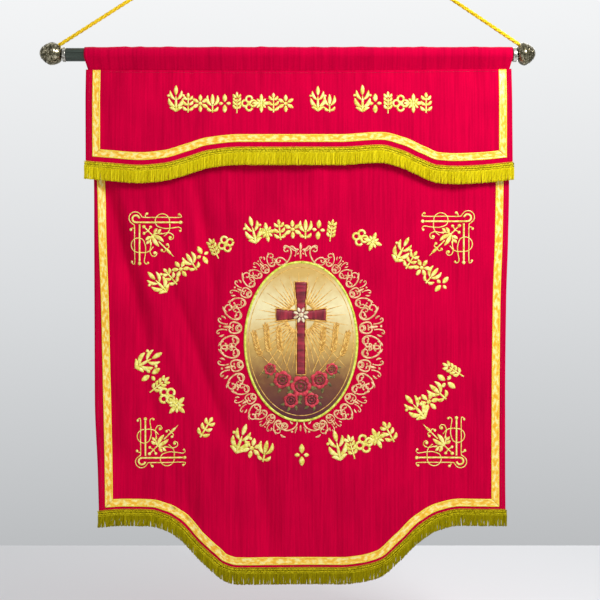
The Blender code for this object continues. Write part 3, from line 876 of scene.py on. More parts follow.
CRIMSON = RibbedPolyester("crimson_ribbed_polyester", "crimson_cloth")
RIBBON = SatinRibbon("gold_satin_ribbon", "gold_ribbon")
FRINGE_STRAND = SpunYarn("fringe_viscose_strand", "gold_fringe", "#FFF02A", "#DCC808", "#8A7A00")
# SHADED_STRAND and SHADED_BRAID are darker copies of the fringe yarns: painted shade for the panel's
# lower fringe
SHADED_STRAND = SpunYarn("fringe_viscose_strand_painted_shade", "gold_fringe", "#C2B414", "#928606", "#544B00")
FRINGE_BRAID = SpunYarn("fringe_viscose_braid", "gold_fringe", "#FFF23C", "#E2CF12",
                        "#8C7C00", ply_mm=3.0)
SHADED_BRAID = SpunYarn("fringe_viscose_braid_painted_shade", "gold_fringe", "#F0E22C", "#BCAC0C",
                        "#6C6000", ply_mm=3.0)
# the heading's tape is coloured dark: painted shade for the gaps between the plaits
FRINGE_TAPE = SpunYarn("fringe_tape_painted_shade", "gold_fringe", "#8A8008", "#645C00", "#3A3500")
CORD_YARN = SpunYarn("twisted_cord_yarn", "gold_cord", "#FFE94A", "#F4C91C", "#B98A06",
                     ply_mm=4.0, roughness=0.45)
THREAD = SatinStitch("pale_gold_stitch", "embroidery", "#FFFBA6", "#F6E95A", "#B9A21E")
FRAME_THREAD = SatinStitch("beige_gold_stitch", "embroidery", "#FFE0B0", "#E8B878", "#A8703A")
RIM_THREAD = SatinStitch("lime_gold_stitch", "embroidery", "#F4FF7A", "#D9E03C", "#8E9414")
WINE_THREAD = SatinStitch("wine_stitch", "medallion_cloth", "#B42A40", "#7E1226", "#470814")
ROSE_THREAD = SatinStitch("rose_stitch", "medallion_cloth", "#F0475A", "#C01A34", "#700C1C")
CREAM_THREAD = SatinStitch("cream_stitch", "medallion_cloth", "#FFF6DA", "#EBD9AC", "#B09464")
LEAF_THREAD = SatinStitch("olive_stitch", "medallion_cloth", "#8E8A44", "#5C5526", "#302A10")
WHEAT_THREAD = SatinStitch("wheat_stitch", "medallion_cloth", "#FFD778", "#DDA038", "#8C5C18")
CRIMSON_THREAD = SatinStitch("crimson_sewing_thread", "crimson_cloth", "#E23A5C", "#B00030", "#7A0020")
GOLD_SEWING = SatinStitch("gold_sewing_thread", "gold_ribbon", "#FFF0A0", "#F2C74A", "#B98A20")
NICKEL = AntiqueBrass("worn_nickel_plate", "antique_metal", "#F4F4EE", "#B9B7AC", "#5A584E", 9.0)
ENAMEL = EnamelledTube("dark_enamelled_tube", "dark_rod")
BRASS = AntiqueBrass("antique_relieved_brass", "antique_metal")
GROUND = ShadedGround("medallion_ground", "medallion_cloth")


# ------------ embroidery strokes

@dataclass(frozen=True)
class Stroke:
    """One line of stitching: its middle line and its half widths, in mm."""

    points: Array
    halves: Array


def line_of(route: Rows, half: float, end_half: float | None = None, step: float = 1.6) -> Stroke:
    """Stitch a smooth line through a few points.

    Args:
        route: the points, in mm.
        half: its half width at the start.
        end_half: its half width at the end, where that differs.
        step: the distance between its sections.

    Returns:
        The stroke.
    """
    points = resample(through(route, 10), step)
    return Stroke(points, np.linspace(half, half if end_half is None else end_half, len(points)))


def plain_line(points: Array, half: float, step: float) -> Stroke:
    """Stitch a line of one width along straight runs, with a section at every step."""
    line = resample(points, step)
    return Stroke(line, np.full(len(line), half))


def direction(degrees: float) -> Array:
    """Return the way that an angle points, counted from +x towards +y."""
    turn = math.radians(degrees)
    return np.array([math.cos(turn), math.sin(turn)])


def leaf(start: Sequence[float], end: Sequence[float], half: float, bow: float = 0.0) -> Stroke:
    """Stitch a leaf, pointed at both ends and bowed to one side by so many mm.

    Args:
        start: its foot.
        end: its tip.
        half: its half width, in mm.
        bow: how far it bows to one side, in mm.

    Returns:
        The stroke.
    """
    t = np.linspace(0, 1, 11)
    start, end = np.array(start, dtype=float), np.array(end, dtype=float)
    side = np.array([-(end - start)[1], (end - start)[0]])
    side = side / (np.linalg.norm(side) + 1e-9)
    points = start + (end - start) * t[:, None] + side * (bow * np.sin(np.pi * t))[:, None]
    return Stroke(points, half * np.sin(np.pi * (0.03 + 0.94 * t)) ** 0.75)


def dot(centre: Sequence[float], radius: float) -> Stroke:
    """Stitch a round bead.

    Args:
        centre: its middle.
        radius: its radius, in mm.

    Returns:
        The stroke.
    """
    t = np.linspace(-0.97, 0.97, 9)
    points = np.array(centre, dtype=float) + np.stack([t * radius, 0 * t], axis=1)
    return Stroke(points, radius * np.sqrt(1 - t ** 2))


def arc(centre: Sequence[float], radius: float, start: float, end: float, half: float) -> Stroke:
    """Stitch an arc between two angles in degrees, counted from +x towards +y.

    Args:
        centre: its middle.
        radius: its radius, in mm.
        start: its first angle.
        end: its last angle.
        half: its half width, in mm.

    Returns:
        The stroke.
    """
    count = max(6, int(abs(math.radians(end - start)) * radius / 1.6))
    turn = np.radians(np.linspace(start, end, count))
    points = np.array(centre) + radius * np.stack([np.cos(turn), np.sin(turn)], axis=1)
    return Stroke(points, np.full(count, half))


def scroll(middle: Sequence[float], heading: float, length: float, bend: float,
           curl_start: float, curl_end: float, half: float = 1.15) -> Stroke:
    """Stitch a scroll: a bent line whose ends wind up into spirals.

    Args:
        middle: where half its length lies.
        heading: its direction there, in degrees.
        length: its whole length, in mm.
        bend: how far it turns evenly along its length, in degrees.
        curl_start: how far its start winds up besides.
        curl_end: the same at its end; equal signs make a C and unlike signs an S.
        half: its half width.

    Returns:
        The stroke, a little thicker in the middle and beaded at its ends.
    """
    t = np.linspace(0, 1, max(24, int(length / 1.5)))
    wound = (bend * (t - 0.5) + curl_end * np.clip((t - 0.45) / 0.55, 0, 1) ** 2.4
             - curl_start * np.clip((0.55 - t) / 0.55, 0, 1) ** 2.4)
    turn = np.radians(heading + wound)
    steps = np.stack([np.cos(turn), np.sin(turn)], axis=1) * length / (len(t) - 1)
    points = np.cumsum(steps, axis=0)
    points = points - points[len(t) // 2] + np.array(middle)
    ends = 0.9 * (np.exp(-(t / 0.035) ** 2) + np.exp(-((1 - t) / 0.035) ** 2))
    return Stroke(points, half * (0.8 + 0.45 * np.sin(np.pi * t) + ends))


@dataclass(frozen=True)
class Place:
    """Where a motif lies on the cloth: its origin in mm, turn, size and mirroring.

    A motif's own x runs right and its y up; drop runs down.
    """

    x: float
    drop: float
    turn: float = 0.0
    size: float = 1.0
    flip_x: float = 1.0
    flip_y: float = 1.0

    def lay(self, stroke: Stroke) -> Stroke:
        """Return the stroke in the cloth's x and drop.

        Args:
            stroke: a motif's stroke, x right and y up.

        Returns:
            The stroke.
        """
        turn = math.radians(self.turn)
        right = stroke.points[:, 0] * self.size * self.flip_x
        up = stroke.points[:, 1] * self.size * self.flip_y
        x = self.x + right * math.cos(turn) + up * math.sin(turn)
        drop = self.drop + right * math.sin(turn) - up * math.cos(turn)
        return Stroke(np.stack([x, drop], axis=1), stroke.halves * self.size)


class Embroiderer:
    """Raises strokes of satin stitch on a cloth's front face."""

    SHARES = np.array([-1.0, -0.6, 0.0, 0.6, 1.0])
    PROFILE = np.array([-0.12, 0.78, 1.0, 0.78, -0.12])
    TONE_STEP = 37.0                 # mm between two strokes' places in the thread's texture

    def __init__(self, surface: "ClothSurface | PatchSurface", height: float = 1.0,
                 lift: float = 0.0) -> None:
        """Start a piece of embroidery.

        Args:
            surface: the face that it is stitched on.
            height: how far its widest strokes stand up, in mm.
            lift: how far above the face they start, in mm.
        """
        self.surface = surface
        self.height = height
        self.lift = lift
        self.maker = MeshMaker()
        self.strokes = 0

    def stitch(self, strokes: Iterable[Stroke], place: Place) -> None:
        """Raise some strokes of a motif at one place."""
        for stroke in strokes:
            self.raise_stroke(place.lay(stroke))

    def raise_stroke(self, stroke: Stroke) -> None:
        """Raise one stroke, given in the cloth's x and drop.

        Args:
            stroke: the stroke, in the cloth's x and drop.
        """
        line, halves = stroke.points, np.maximum(stroke.halves, 0.12)
        tangent = np.gradient(line, axis=0)
        tangent /= np.linalg.norm(tangent, axis=1)[:, None] + 1e-9
        normal = np.stack([-tangent[:, 1], tangent[:, 0]], axis=1)
        flat = line[:, None, :] + normal[:, None, :] * (halves[:, None] * self.SHARES)[..., None]
        x, drop = flat[..., 0], flat[..., 1]
        fullness = np.minimum(1.0, 0.35 + halves / 3.0)[:, None] * self.height
        raised = np.where(self.PROFILE > 0, self.PROFILE * fullness, self.PROFILE)
        y = self.surface.front(x, drop) - (raised + self.lift) * MM
        along = (distances(line) + self.TONE_STEP * self.strokes) * MM
        across = np.append((self.SHARES + 1) / 2, 0.0)
        uvs = uv_grid(along[:, None], across[None, :])
        self.maker.grid(world_points(x, y, drop), uvs, ring=True, caps=True)
        self.strokes += 1

    def build(self, name: str, finish: Finish) -> Object:
        """Make the piece."""
        return self.maker.build(name, finish)


# ------------ motifs

class Motif(Enum):
    """The sprigs and rosettes that the lines of embroidery are made of."""

    FLEURON = "fleuron"
    ROSETTE = "rosette"
    SPRIG = "sprig"
    LOZENGES = "lozenges"
    TULIP = "tulip"
    QUATREFOIL = "quatrefoil"
    STAR = "star"
    EAR = "ear"


def petals(count: int, inner: float, outer: float, half: float, start: float = 90.0,
           centre: Pair = (0.0, 0.0)) -> list[Stroke]:
    """Return a ring of leaves that point outwards.

    Args:
        count: how many.
        inner: the radius where they start.
        outer: the radius of their tips.
        half: their half width.
        start: the first one's angle in degrees.
        centre: the ring's middle.

    Returns:
        The strokes.
    """
    made = []
    for k in range(count):
        way = direction(start + 360 * k / count)
        made.append(leaf(centre + way * inner, centre + way * outer, half))
    return made


def both_sides(strokes: Iterable[Stroke]) -> list[Stroke]:
    """Return the strokes and their mirror images in x.

    Args:
        strokes: the strokes.

    Returns:
        The strokes.
    """
    strokes = list(strokes)
    mirrored = [Stroke(s.points * np.array([-1.0, 1.0]), s.halves) for s in strokes]
    return strokes + mirrored


def motif_strokes(motif: Motif) -> list[Stroke]:
    """Return a motif's strokes, in mm round the middle of a line 32 mm high.

    Args:
        motif: which one.

    Returns:
        The strokes.
    """
    match motif:
        case Motif.FLEURON:
            wings = [leaf((1.5, -6), (12.5, 9), 3.6, -3), leaf((1.5, 6), (10, 22), 3.0, -2.5),
                     leaf((1, -14), (11.5, -7), 3.0, 2), dot((13.0, 13.5), 2.4)]
            return [leaf((0, 14), (0, 31), 3.6), leaf((0, -15), (0, 13), 2.4), *both_sides(wings)]
        case Motif.ROSETTE:
            return [*petals(6, 3.6, 15.0, 3.5), dot((0, 0), 3.4)]
        case Motif.SPRIG:
            leaves = [leaf((0.6, -12 + 9 * k), (9.5 - k, -5 + 9 * k), 2.9, -1.5) for k in range(3)]
            return [line_of(((0, -16), (0, 0), (0, 12)), 1.4), leaf((0, 9), (0, 18), 3.0),
                    *both_sides(leaves)]
        case Motif.LOZENGES:
            return [leaf((0, 2.5), (0, 16), 4.2), leaf((0, -16), (0, -2.5), 4.2),
                    *both_sides([leaf((3.0, 0), (10.5, 0), 3.0)])]
        case Motif.TULIP:
            return [leaf((0, -3), (0, 16), 3.6), line_of(((0, -16), (0, -3)), 1.5),
                    *both_sides([leaf((1.5, -4), (8.5, 14), 3.2, -3.5),
                                 leaf((0.8, -13), (9.5, -6), 2.8, -2)])]
        case Motif.QUATREFOIL:
            rings = [arc((7.2 * math.cos(a), 7.2 * math.sin(a)), 5.2, 0, 348, 2.0)
                     for a in (0, math.pi / 2, math.pi, 3 * math.pi / 2)]
            return [*rings, dot((0, 0), 3.0)]
        case Motif.STAR:
            return [*petals(4, 1.5, 16.0, 3.4), *petals(4, 2.5, 11.0, 2.4, 45.0), dot((0, 0), 2.6)]
        case Motif.EAR:
            grains = [leaf((0.8, -9 + 6.2 * k), (6.6, -2.5 + 6.2 * k), 2.6, -1.0) for k in range(4)]
            return [line_of(((0, -17), (0, 8)), 1.2), leaf((0, 10), (0, 20), 2.5), *both_sides(grains)]


MOTIF_ORDER = (Motif.SPRIG, Motif.ROSETTE, Motif.TULIP, Motif.LOZENGES, Motif.EAR,
               Motif.QUATREFOIL, Motif.STAR)


def pick_motifs(counts: Iterable[int], least: int, first: int = 0) -> list[list[Motif]]:
    """Choose each group's motifs: a fleuron to start the larger groups, the rest in order.

    Args:
        counts: how many motifs each group has.
        least: the smallest group with a fleuron.
        first: where the order is entered.

    Returns:
        Each group's motifs.
    """
    made = []
    number = first
    for count in counts:
        start = [Motif.FLEURON] if count >= least else []
        rest = count - len(start)
        made.append(start + [MOTIF_ORDER[(number + k) % len(MOTIF_ORDER)] for k in range(rest)])
        number += rest
    return made


@dataclass
class MotifLine:
    """A line of motifs on the valance, in groups that each start with a fleuron."""

    name: str = "valance_motifs"
    drop: float = 93.0
    groups: tuple[tuple[float, float, int], ...] = (     # (left, right, motifs)
        (-237.0, -8.0, 10), (30.0, 74.0, 2), (113.0, 256.0, 6),
    )
    motif_width: float = 21.0        # the place that a motif of full size fills

    def build(self, surface: ValanceSurface) -> Object:
        """Stitch the line and return it.

        Args:
            surface: the cloth's face.

        Returns:
            The new piece.
        """
        work = Embroiderer(surface, 1.5)
        chosen = pick_motifs([count for *_, count in self.groups], 1)
        for (left, right, count), motifs in zip(self.groups, chosen):
            pitch = (right - left) / count
            for k, motif in enumerate(motifs):
                work.stitch(motif_strokes(motif),
                            Place(left + pitch * (k + 0.5), self.drop, size=pitch / self.motif_width))
        return work.build(self.name, THREAD)


@dataclass
class MotifArc:
    """An arc of motifs round the medallion, arched over it or hung under it."""

    name: str
    centre: Pair      # (x, drop)
    radius: float
    ends: Pair        # degrees from straight up, or from straight down
    groups: tuple[int, ...]
    hung: bool
    gap: float = 1.3                 # between groups, as a share of a motif's place
    first: int = 0
    size: float = 1.0

    def build(self, surface: PanelSurface) -> Object:
        """Stitch the arc and return it.

        Args:
            surface: the cloth's face.

        Returns:
            The new piece.
        """
        work = Embroiderer(surface, 1.5)
        places = sum(self.groups) + self.gap * (len(self.groups) - 1)
        step = (self.ends[1] - self.ends[0]) / places
        at = self.ends[0]
        for motifs in pick_motifs(self.groups, 3, self.first):
            for motif in motifs:
                angle = at + step / 2
                turn = math.radians(angle)
                reach = self.radius * math.cos(turn)
                place = Place(self.centre[0] + self.radius * math.sin(turn),
                              self.centre[1] + (reach if self.hung else -reach),
                              turn=-angle if self.hung else angle, size=self.size)
                work.stitch(motif_strokes(motif), place)
                at += step
            at += step * self.gap
        return work.build(self.name, THREAD)


@dataclass
class CornerOrnaments:
    """Four mirrored ornaments: barred arms, a looped corner, rings and a spray of leaves.

    Each is drawn with its corner at the origin, one arm along x and the other along y, and is
    the same on both sides of its diagonal.
    """

    name: str = "corner_ornaments"
    arm: float = 20.0                # from the corner's two edges to the thick bars
    reach: float = 94.0
    thick: float = 1.75
    thin: float = 0.98
    corners: tuple[tuple[float, float, float, float, float], ...] = (
        (-315.0, 296.0, 1.0, 1.0, 1.0),      # (x, drop, flip x, flip drop, size)
        (336.0, 294.0, -1.0, 1.0, 1.0),
        (-303.0, 779.0, 1.0, -1.0, 0.95),
        (322.0, 779.0, -1.0, -1.0, 0.97),
    )

    def arm_strokes(self) -> list[Stroke]:
        """Return what lies on one side of the diagonal.

        Returns:
            The strokes.
        """
        arm, reach, thin = self.arm, self.reach, self.thin
        outer, inner = arm - 9.5, arm + 10.0
        ring = arc((63.0, arm - 2.5), 13.5, 128, 360, thin)
        tail = line_of(((76.5, arm - 2.5), (77, 26), (76.5, 33), (73, 40), (66, 46)), thin)
        return [
            line_of(((arm + 4, arm), (reach, arm)), self.thick),
            dot((reach + 3.4, arm), 3.4),
            arc((12.0, 12.0), 11.8, 225, 312, thin),
            line_of(((19.9, 3.2), (23.5, 7.6), (28, outer), (60, outer), (reach + 1, outer),
                     (reach + 4.2, outer - 3), (reach + 1.5, outer - 6)), thin),
            dot((reach + 0.4, outer - 5.6), 2.4),
            line_of(((31, outer), (30.8, 6.5), (33, 3.8)), thin),
            dot((33.8, 3.6), 2.7),
            ring, tail,
            line_of(((54.5, 27.5), (59, 29.5), (68, inner + 1.5), (80, inner + 0.8),
                     (reach, inner - 1), (reach + 4.5, inner + 3), (reach + 2.6, inner + 6)),
                    thin),
            dot((reach + 2.4, inner + 6), 2.3),
            line_of(((57, 42.5), (66, 41), (75, 39.6), (83, 43.5), (83.4, 50), (78, 52.6),
                     (75.2, 49)), thin),
            dot((77.6, 48.6), 3.0),
            line_of(((44, 44), (50, 41.2), (58, 40.4), (64, 41.6)), 1.7, 1.0),
            leaf((47.5, 41.5), (53.5, 31.5), 3.3, -1.0),
            leaf((54.5, 40.8), (61.0, 33.0), 2.9, -1.0),
            leaf((44.5, 44.0), (65.5, 56.5), 4.1, -1.6),
            line_of(((37, 37), (37.5, 33.5), (40.2, 30.0)), thin),
            dot((40.8, 28.6), 2.8),
            line_of(((67.5, 67.5), (71.5, 69.5), (75.6, 66.6), (74.0, 62.6)), thin),
            dot((72.6, 61.8), 2.7),
        ]

    def strokes(self) -> list[Stroke]:
        """Return the whole ornament's strokes.

        Returns:
            The strokes.
        """
        side = self.arm_strokes()
        other = [Stroke(s.points[:, ::-1], s.halves) for s in side]
        middle = [
            line_of(((self.arm + 4, self.arm), (18, self.arm), (13, 19.8)), self.thick),
            arc((13.0, 13.3), 6.5, 90, 352, self.thick + 0.2),
            line_of(((44, 44), (30, 30)), 1.3),
            dot((28.2, 28.2), 3.3),
            line_of(((56, 56), (70, 70)), 1.4),
            leaf((68.5, 68.5), (80.5, 80.5), 2.9),
            line_of(((79, 79), (85, 85)), 1.2, 0.3),
        ]
        return side + other + middle

    def build(self, surface: PanelSurface) -> Object:
        """Stitch all four and return them.

        Args:
            surface: the cloth's face.

        Returns:
            The new piece.
        """
        work = Embroiderer(surface, 1.15)
        strokes = self.strokes()
        for x, drop, flip_x, flip_drop, size in self.corners:
            work.stitch(strokes, Place(x, drop, size=size, flip_x=flip_x, flip_y=-flip_drop))
        return work.build(self.name, THREAD)


@dataclass
class ScrollFrame:
    """Lacy scrollwork round the medallion, the same on both sides."""

    name: str = "scroll_frame"
    centre: Pair = (8.5, 540.5)
    half: Pair = (109.0, 153.0)       # of the oval it grows from
    units: tuple[Pair, ...] = (       # (degrees above level, size)
        (57.0, 0.78), (34.0, 0.96), (9.0, 1.14), (-16.0, 1.14), (-41.0, 0.98), (-63.0, 0.78),
    )

    def unit(self) -> list[Stroke]:
        """Return one shell of scrolls, growing up from its base, 48 mm high."""
        side = [
            scroll((17, 26), 62, 84, -70, -330, -300),
            scroll((9, 13), 78, 50, 60, 260, 290),
            scroll((27, 9), 20, 44, 80, 240, 250, 1.0),
            scroll((6.5, 40), 70, 26, -60, 0, -230, 1.0),
            leaf((24, 30), (33, 38), 1.9, 1.5), leaf((29, 21), (37, 24), 1.7, 1.0),
            leaf((13, 31), (17, 39), 1.7, -1.0), dot((34.5, 15.5), 1.9),
        ]
        return [*both_sides(side), leaf((0, 18), (0, 34), 2.3), dot((0, 39), 2.0),
                arc((0, 8), 5.0, -30, 210, 1.0)]

    def crown(self) -> list[Stroke]:
        """Return the fleuron on the top and its two arches.

        Returns:
            The strokes.
        """
        side = [
            scroll((19, 8), 112, 84, -60, -150, -330, 1.2),
            scroll((31, 2), 40, 62, -90, -260, -290),
            scroll((12, 24), 60, 34, -80, -40, -300, 1.0),
            scroll((25, 27), 30, 32, -60, 40, -300, 1.0),
            leaf((6, 16), (14, 24), 2.0, 1.2), leaf((3, 20), (9.5, 21), 1.8),
            leaf((3, 14), (7, 11), 1.4),
        ]
        fleuron = [leaf((0, 18), (0, 33), 2.6), leaf((0, 2), (0, 17), 1.9), dot((0, 17.5), 2.2)]
        return [*both_sides(side), *fleuron]

    def foot(self) -> list[Stroke]:
        """Return the pair of double spirals under the oval."""
        side = [
            scroll((20, -14), -20, 96, 120, 300, 420, 1.2),
            scroll((40, -10), 30, 62, 100, 260, 300),
            leaf((28, -27), (38, -22), 2.0, -1.5), leaf((46, -18), (53, -10), 1.9, -1.0),
            leaf((6, -8), (10, -20), 1.7, 1.0), dot((16, -17), 2.2),
        ]
        return [*both_sides(side), leaf((0, -4), (0, -16), 2.0)]

    def build(self, surface: PanelSurface) -> Object:
        """Stitch the frame and return it.

        Args:
            surface: the cloth's face.

        Returns:
            The new piece.
        """
        work = Embroiderer(surface, 0.9)
        x, drop = self.centre
        for degrees, size in self.units:
            turn = math.radians(degrees)
            reach = (self.half[0] * math.cos(turn), self.half[1] * math.sin(turn))
            normal = math.degrees(math.atan2(math.cos(turn) / self.half[0],
                                             math.sin(turn) / self.half[1]))
            for side in (1.0, -1.0):
                work.stitch(self.unit(), Place(x + side * reach[0], drop - reach[1],
                                               turn=side * normal, size=size))
        work.stitch(self.crown(), Place(x, drop - self.half[1]))
        work.stitch(self.foot(), Place(x, drop + self.half[1]))
        return work.build(self.name, FRAME_THREAD)


# ------------ the medallion

class PatchSurface:
    """The medallion's front face: flat on the panel and slightly padded."""

    LIFT = 1.3
    PADDING = 1.4

    def front(self, x: Array, drop: Array) -> Array:
        """Return the front face's y at places in mm, in metres."""
        dome = self.PADDING * np.clip(1 - medallion_radius(x, drop) ** 4, 0, 1)
        return (-CLOTH_THICKNESS / 2 - self.LIFT - dome) * MM


@dataclass
class Medallion:
    """The oval patch: shaded ground, rays, an edged cross, roses and ears of wheat."""

    rings: int = 36
    sectors: int = 144
    ray_middle: Pair = (0.0, 46.0)
    rays: int = 56
    roses: tuple[Triple, ...] = (
        (0.0, -84.0, 1.0), (-35.0, -72.0, 0.86), (35.0, -72.0, 0.86),
        (-19.0, -111.0, 0.72), (20.0, -110.0, 0.72), (-58.0, -52.0, 0.6), (58.0, -52.0, 0.6),
    )
    ears: tuple[tuple[Pair, ...], ...] = (
        ((30, -62), (58, -22), (66, 26)), ((40, -58), (76, -24), (88, 12)),
        ((22, -58), (38, -16), (42, 20)),
    )
    cross_half: float = 8.5          # half the width of the cross's beams
    cross_top: float = 112.0         # from the medallion's middle
    cross_foot: float = -62.0
    cross_level: float = 50.0        # of the crossing
    cross_span: float = 47.0
    cross_flare: float = 4.0         # how much wider the ends are, each side
    rose_rings: tuple[tuple[float, ...], ...] = (  # (petals, start, reach, span, half, bow)
        (6, 0, 11.0, 9.0, 4.6, -5.0), (5, 36, 5.4, 5.4, 2.6, -3.0),
    )
    surface: PatchSurface = field(default_factory=PatchSurface)

    def place(self) -> Place:
        """Return the medallion's middle."""
        return Place(*MEDALLION_CENTRE)

    def ground(self) -> Object:
        """Build the padded ground, its turned edge reaching back to the panel.

        Returns:
            The new piece.
        """
        maker = MeshMaker()
        shares = np.append(np.linspace(0.004, 1.0, self.rings), [1.004, 1.0])[:, None]
        turn = (2 * np.pi * np.arange(self.sectors) / self.sectors)[None, :]
        x = MEDALLION_CENTRE[0] + MEDALLION_HALF[0] * shares * np.sin(turn)
        drop = MEDALLION_CENTRE[1] + MEDALLION_HALF[1] * shares * np.cos(turn)
        y = self.surface.front(x, drop)
        y[-2] += 0.5 * self.surface.LIFT * MM
        y[-1] += (self.surface.LIFT - 0.15) * MM
        around = np.append(turn[0], 2 * np.pi) * MEDALLION_HALF[0] * MM
        uvs = uv_grid(around[None, :], shares)
        maker.grid(world_points(x, y, drop)[::-1], uvs[::-1], ring=True, caps=True)
        return maker.build("medallion_ground", GROUND)

    def work(self, name: str, finish: Finish, strokes: Iterable[Stroke],
             height: float = 0.8, lift: float = 0.0) -> Object:
        """Stitch some strokes on the medallion in one thread.

        Args:
            name: the piece's name.
            finish: the thread.
            strokes: the strokes.
            height: how far its widest strokes stand up, in mm.
            lift: how far above the face they start, in mm.

        Returns:
            The new piece.
        """
        made = Embroiderer(self.surface, height, lift)
        made.stitch(strokes, self.place())
        return made.build(name, finish)

    def oval(self, share: float, half: float) -> Stroke:
        """Return a stroke round the oval at a share of its size.

        Args:
            share: the share of the oval's size.
            half: its half width, in mm.

        Returns:
            The stroke.
        """
        turn = np.linspace(0, 2 * np.pi, 221)
        points = share * np.stack([MEDALLION_HALF[0] * np.sin(turn), MEDALLION_HALF[1] * np.cos(turn)],
                                  axis=1)
        return Stroke(points, np.full(len(turn), half))

    def ray_strokes(self) -> list[Stroke]:
        """Return tapering rays of two lengths that stop short of the oval's edge.

        Returns:
            The strokes.
        """
        middle = np.array(self.ray_middle)
        made = []
        for k in range(self.rays):
            turn = 2 * math.pi * (k + 0.5) / self.rays
            way = np.array([math.sin(turn), math.cos(turn)])
            reach = np.linspace(30, 300, 400)
            inside = np.hypot(*((middle + way * reach[:, None]) / np.array(MEDALLION_HALF)).T) < 0.88
            length = reach[inside].max() if inside.any() else 30.0
            length = min(length, 150.0) * (0.98 if k % 2 else 0.72)
            if middle[1] + way[1] * length < -66:
                length = min(length, 100.0)
            points = middle + way * np.linspace(26, max(length, 40), 14)[:, None]
            made.append(Stroke(points, np.linspace(1.9, 0.35, 14)))
        return made

    def cross_outline(self, grow: float) -> Array:
        """Return the cross's corners, grown outwards by so many mm.

        Args:
            grow: how far outwards, in mm.

        Returns:
            The corners, the first one twice.
        """
        arm, top, span = (size + grow for size in (self.cross_half, self.cross_top, self.cross_span))
        foot, level, flare = self.cross_foot - grow, self.cross_level, self.cross_flare
        return np.array([
            (arm, foot), (arm, level - arm), (span, level - arm - flare),
            (span, level + arm + flare), (arm, level + arm), (arm + flare, top),
            (-arm - flare, top), (-arm, level + arm), (-span, level + arm + flare),
            (-span, level - arm - flare), (-arm, level - arm), (-arm, foot), (arm, foot),
        ])

    def cross_strokes(self) -> list[Stroke]:
        """Return the wide padded strokes of the cross.

        Returns:
            The strokes.
        """
        half, level, span = self.cross_half, self.cross_level, self.cross_span
        upright = resample(np.array([(0.0, self.cross_foot), (0.0, self.cross_top)]), 3.0)
        flare = self.cross_flare * smooth_step(level + 8.0, self.cross_top, upright[:, 1])
        made = [Stroke(upright, half + flare)]
        for side in (-1.0, 1.0):
            beam = resample(np.array([(side * 7.0, level), (side * span, level)]), 3.0)
            flare = self.cross_flare * smooth_step(half, span, np.abs(beam[:, 0]))
            made.append(Stroke(beam, half + flare))
        return made

    def edging(self) -> list[Stroke]:
        """Return the gold cord round the cross, one stroke to each straight edge."""
        corners = self.cross_outline(0.4)
        return [plain_line(np.array(pair), 1.25, 2.5) for pair in zip(corners, corners[1:])]

    def rose(self, x: float, y: float, size: float) -> tuple[list[Stroke], list[Stroke]]:
        """Return one rose: its outer and its inner petals.

        Args:
            x: its middle, right of the oval's.
            y: its middle, above the oval's.
            size: its size; 1 is 34 mm across.

        Returns:
            The strokes in the rose thread and those in the wine thread.
        """
        rings = []
        for count, start, reach, span, half, bow in self.rose_rings:
            rings.append([])
            for k in range(count):
                way = direction(360 * k / count + start + 20 * x)
                side = np.array([-way[1], way[0]]) * span * size
                middle = np.array([x, y]) + way * reach * size
                rings[-1].append(leaf(middle - side, middle + side, half * size, bow * size))
        outer, inner = rings
        inner.append(dot((x, y), 3.0 * size))
        return outer, inner

    def ear_strokes(self, route: Rows) -> list[Stroke]:
        """Return an ear of wheat: a stem, with paired grains along its upper part.

        Args:
            route: the points to go through.

        Returns:
            The strokes.
        """
        line = resample(through(route, 10), 5.2)
        made = [plain_line(line, 0.9, 2.0)]
        for k in range(len(line) // 2, len(line)):
            way = line[k] - line[k - 1]
            way /= np.linalg.norm(way)
            for side in (-1.0, 1.0):
                out = np.array([-way[1], way[0]]) * side
                made.append(leaf(line[k] + out * 0.6, line[k] + out * 4.6 + way * 8.0, 2.0, side * 0.8))
        made.append(leaf(line[-1], line[-1] + way * 11, 2.0))
        return made

    def leaves(self) -> list[Stroke]:
        """Return the leaves that stand out between the roses.

        Returns:
            The strokes.
        """
        made = []
        for x, y, size in self.roses:
            for degrees in (205, 262, 318, -12) if x == 0 else (200, 250, 300, 340):
                way = direction(degrees + (30 if x > 0 else 0))
                start = np.array([x, y]) + way * 13 * size
                made.append(leaf(start, start + way * 17 * size, 3.8 * size, 2.0))
        return made

    def build(self) -> list[Object]:
        """Build the medallion's pieces and return them, the ground first.

        Returns:
            The new pieces.
        """
        ground = self.ground()
        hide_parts("medallion")
        ears = [stroke for route in self.ears for stroke in both_sides(self.ear_strokes(route))]
        outer, inner = [], []
        for rose in self.roses:
            petals_out, petals_in = self.rose(*rose)
            outer += petals_out
            inner += petals_in
        heart = [*petals(8, 5.0, 15.0, 3.0, 22.5, (0.0, 50.0)), dot((0.0, 50.0), 4.6)]
        return [
            ground,
            self.work("medallion_rays", WHEAT_THREAD, self.ray_strokes(), 0.5),
            self.work("medallion_cross", WINE_THREAD, self.cross_strokes(), 1.5),
            self.work("medallion_cross_edging", WHEAT_THREAD, self.edging(), 1.9),
            self.work("medallion_cross_star", CREAM_THREAD, heart, 1.0, 1.4),
            self.work("medallion_leaves", LEAF_THREAD, self.leaves(), 0.9),
            self.work("medallion_wheat", WHEAT_THREAD, ears, 0.9, 0.3),
            self.work("medallion_roses", ROSE_THREAD, outer, 1.2, 0.3),
            self.work("medallion_rose_hearts", WINE_THREAD, inner, 1.1, 0.9),
            self.work("medallion_inner_line", WHEAT_THREAD, [self.oval(0.93, 0.8)], 0.6),
            self.work("medallion_border", RIM_THREAD, [self.oval(0.995, 2.5)], 1.7, -0.6),
        ]


# ------------ cloth

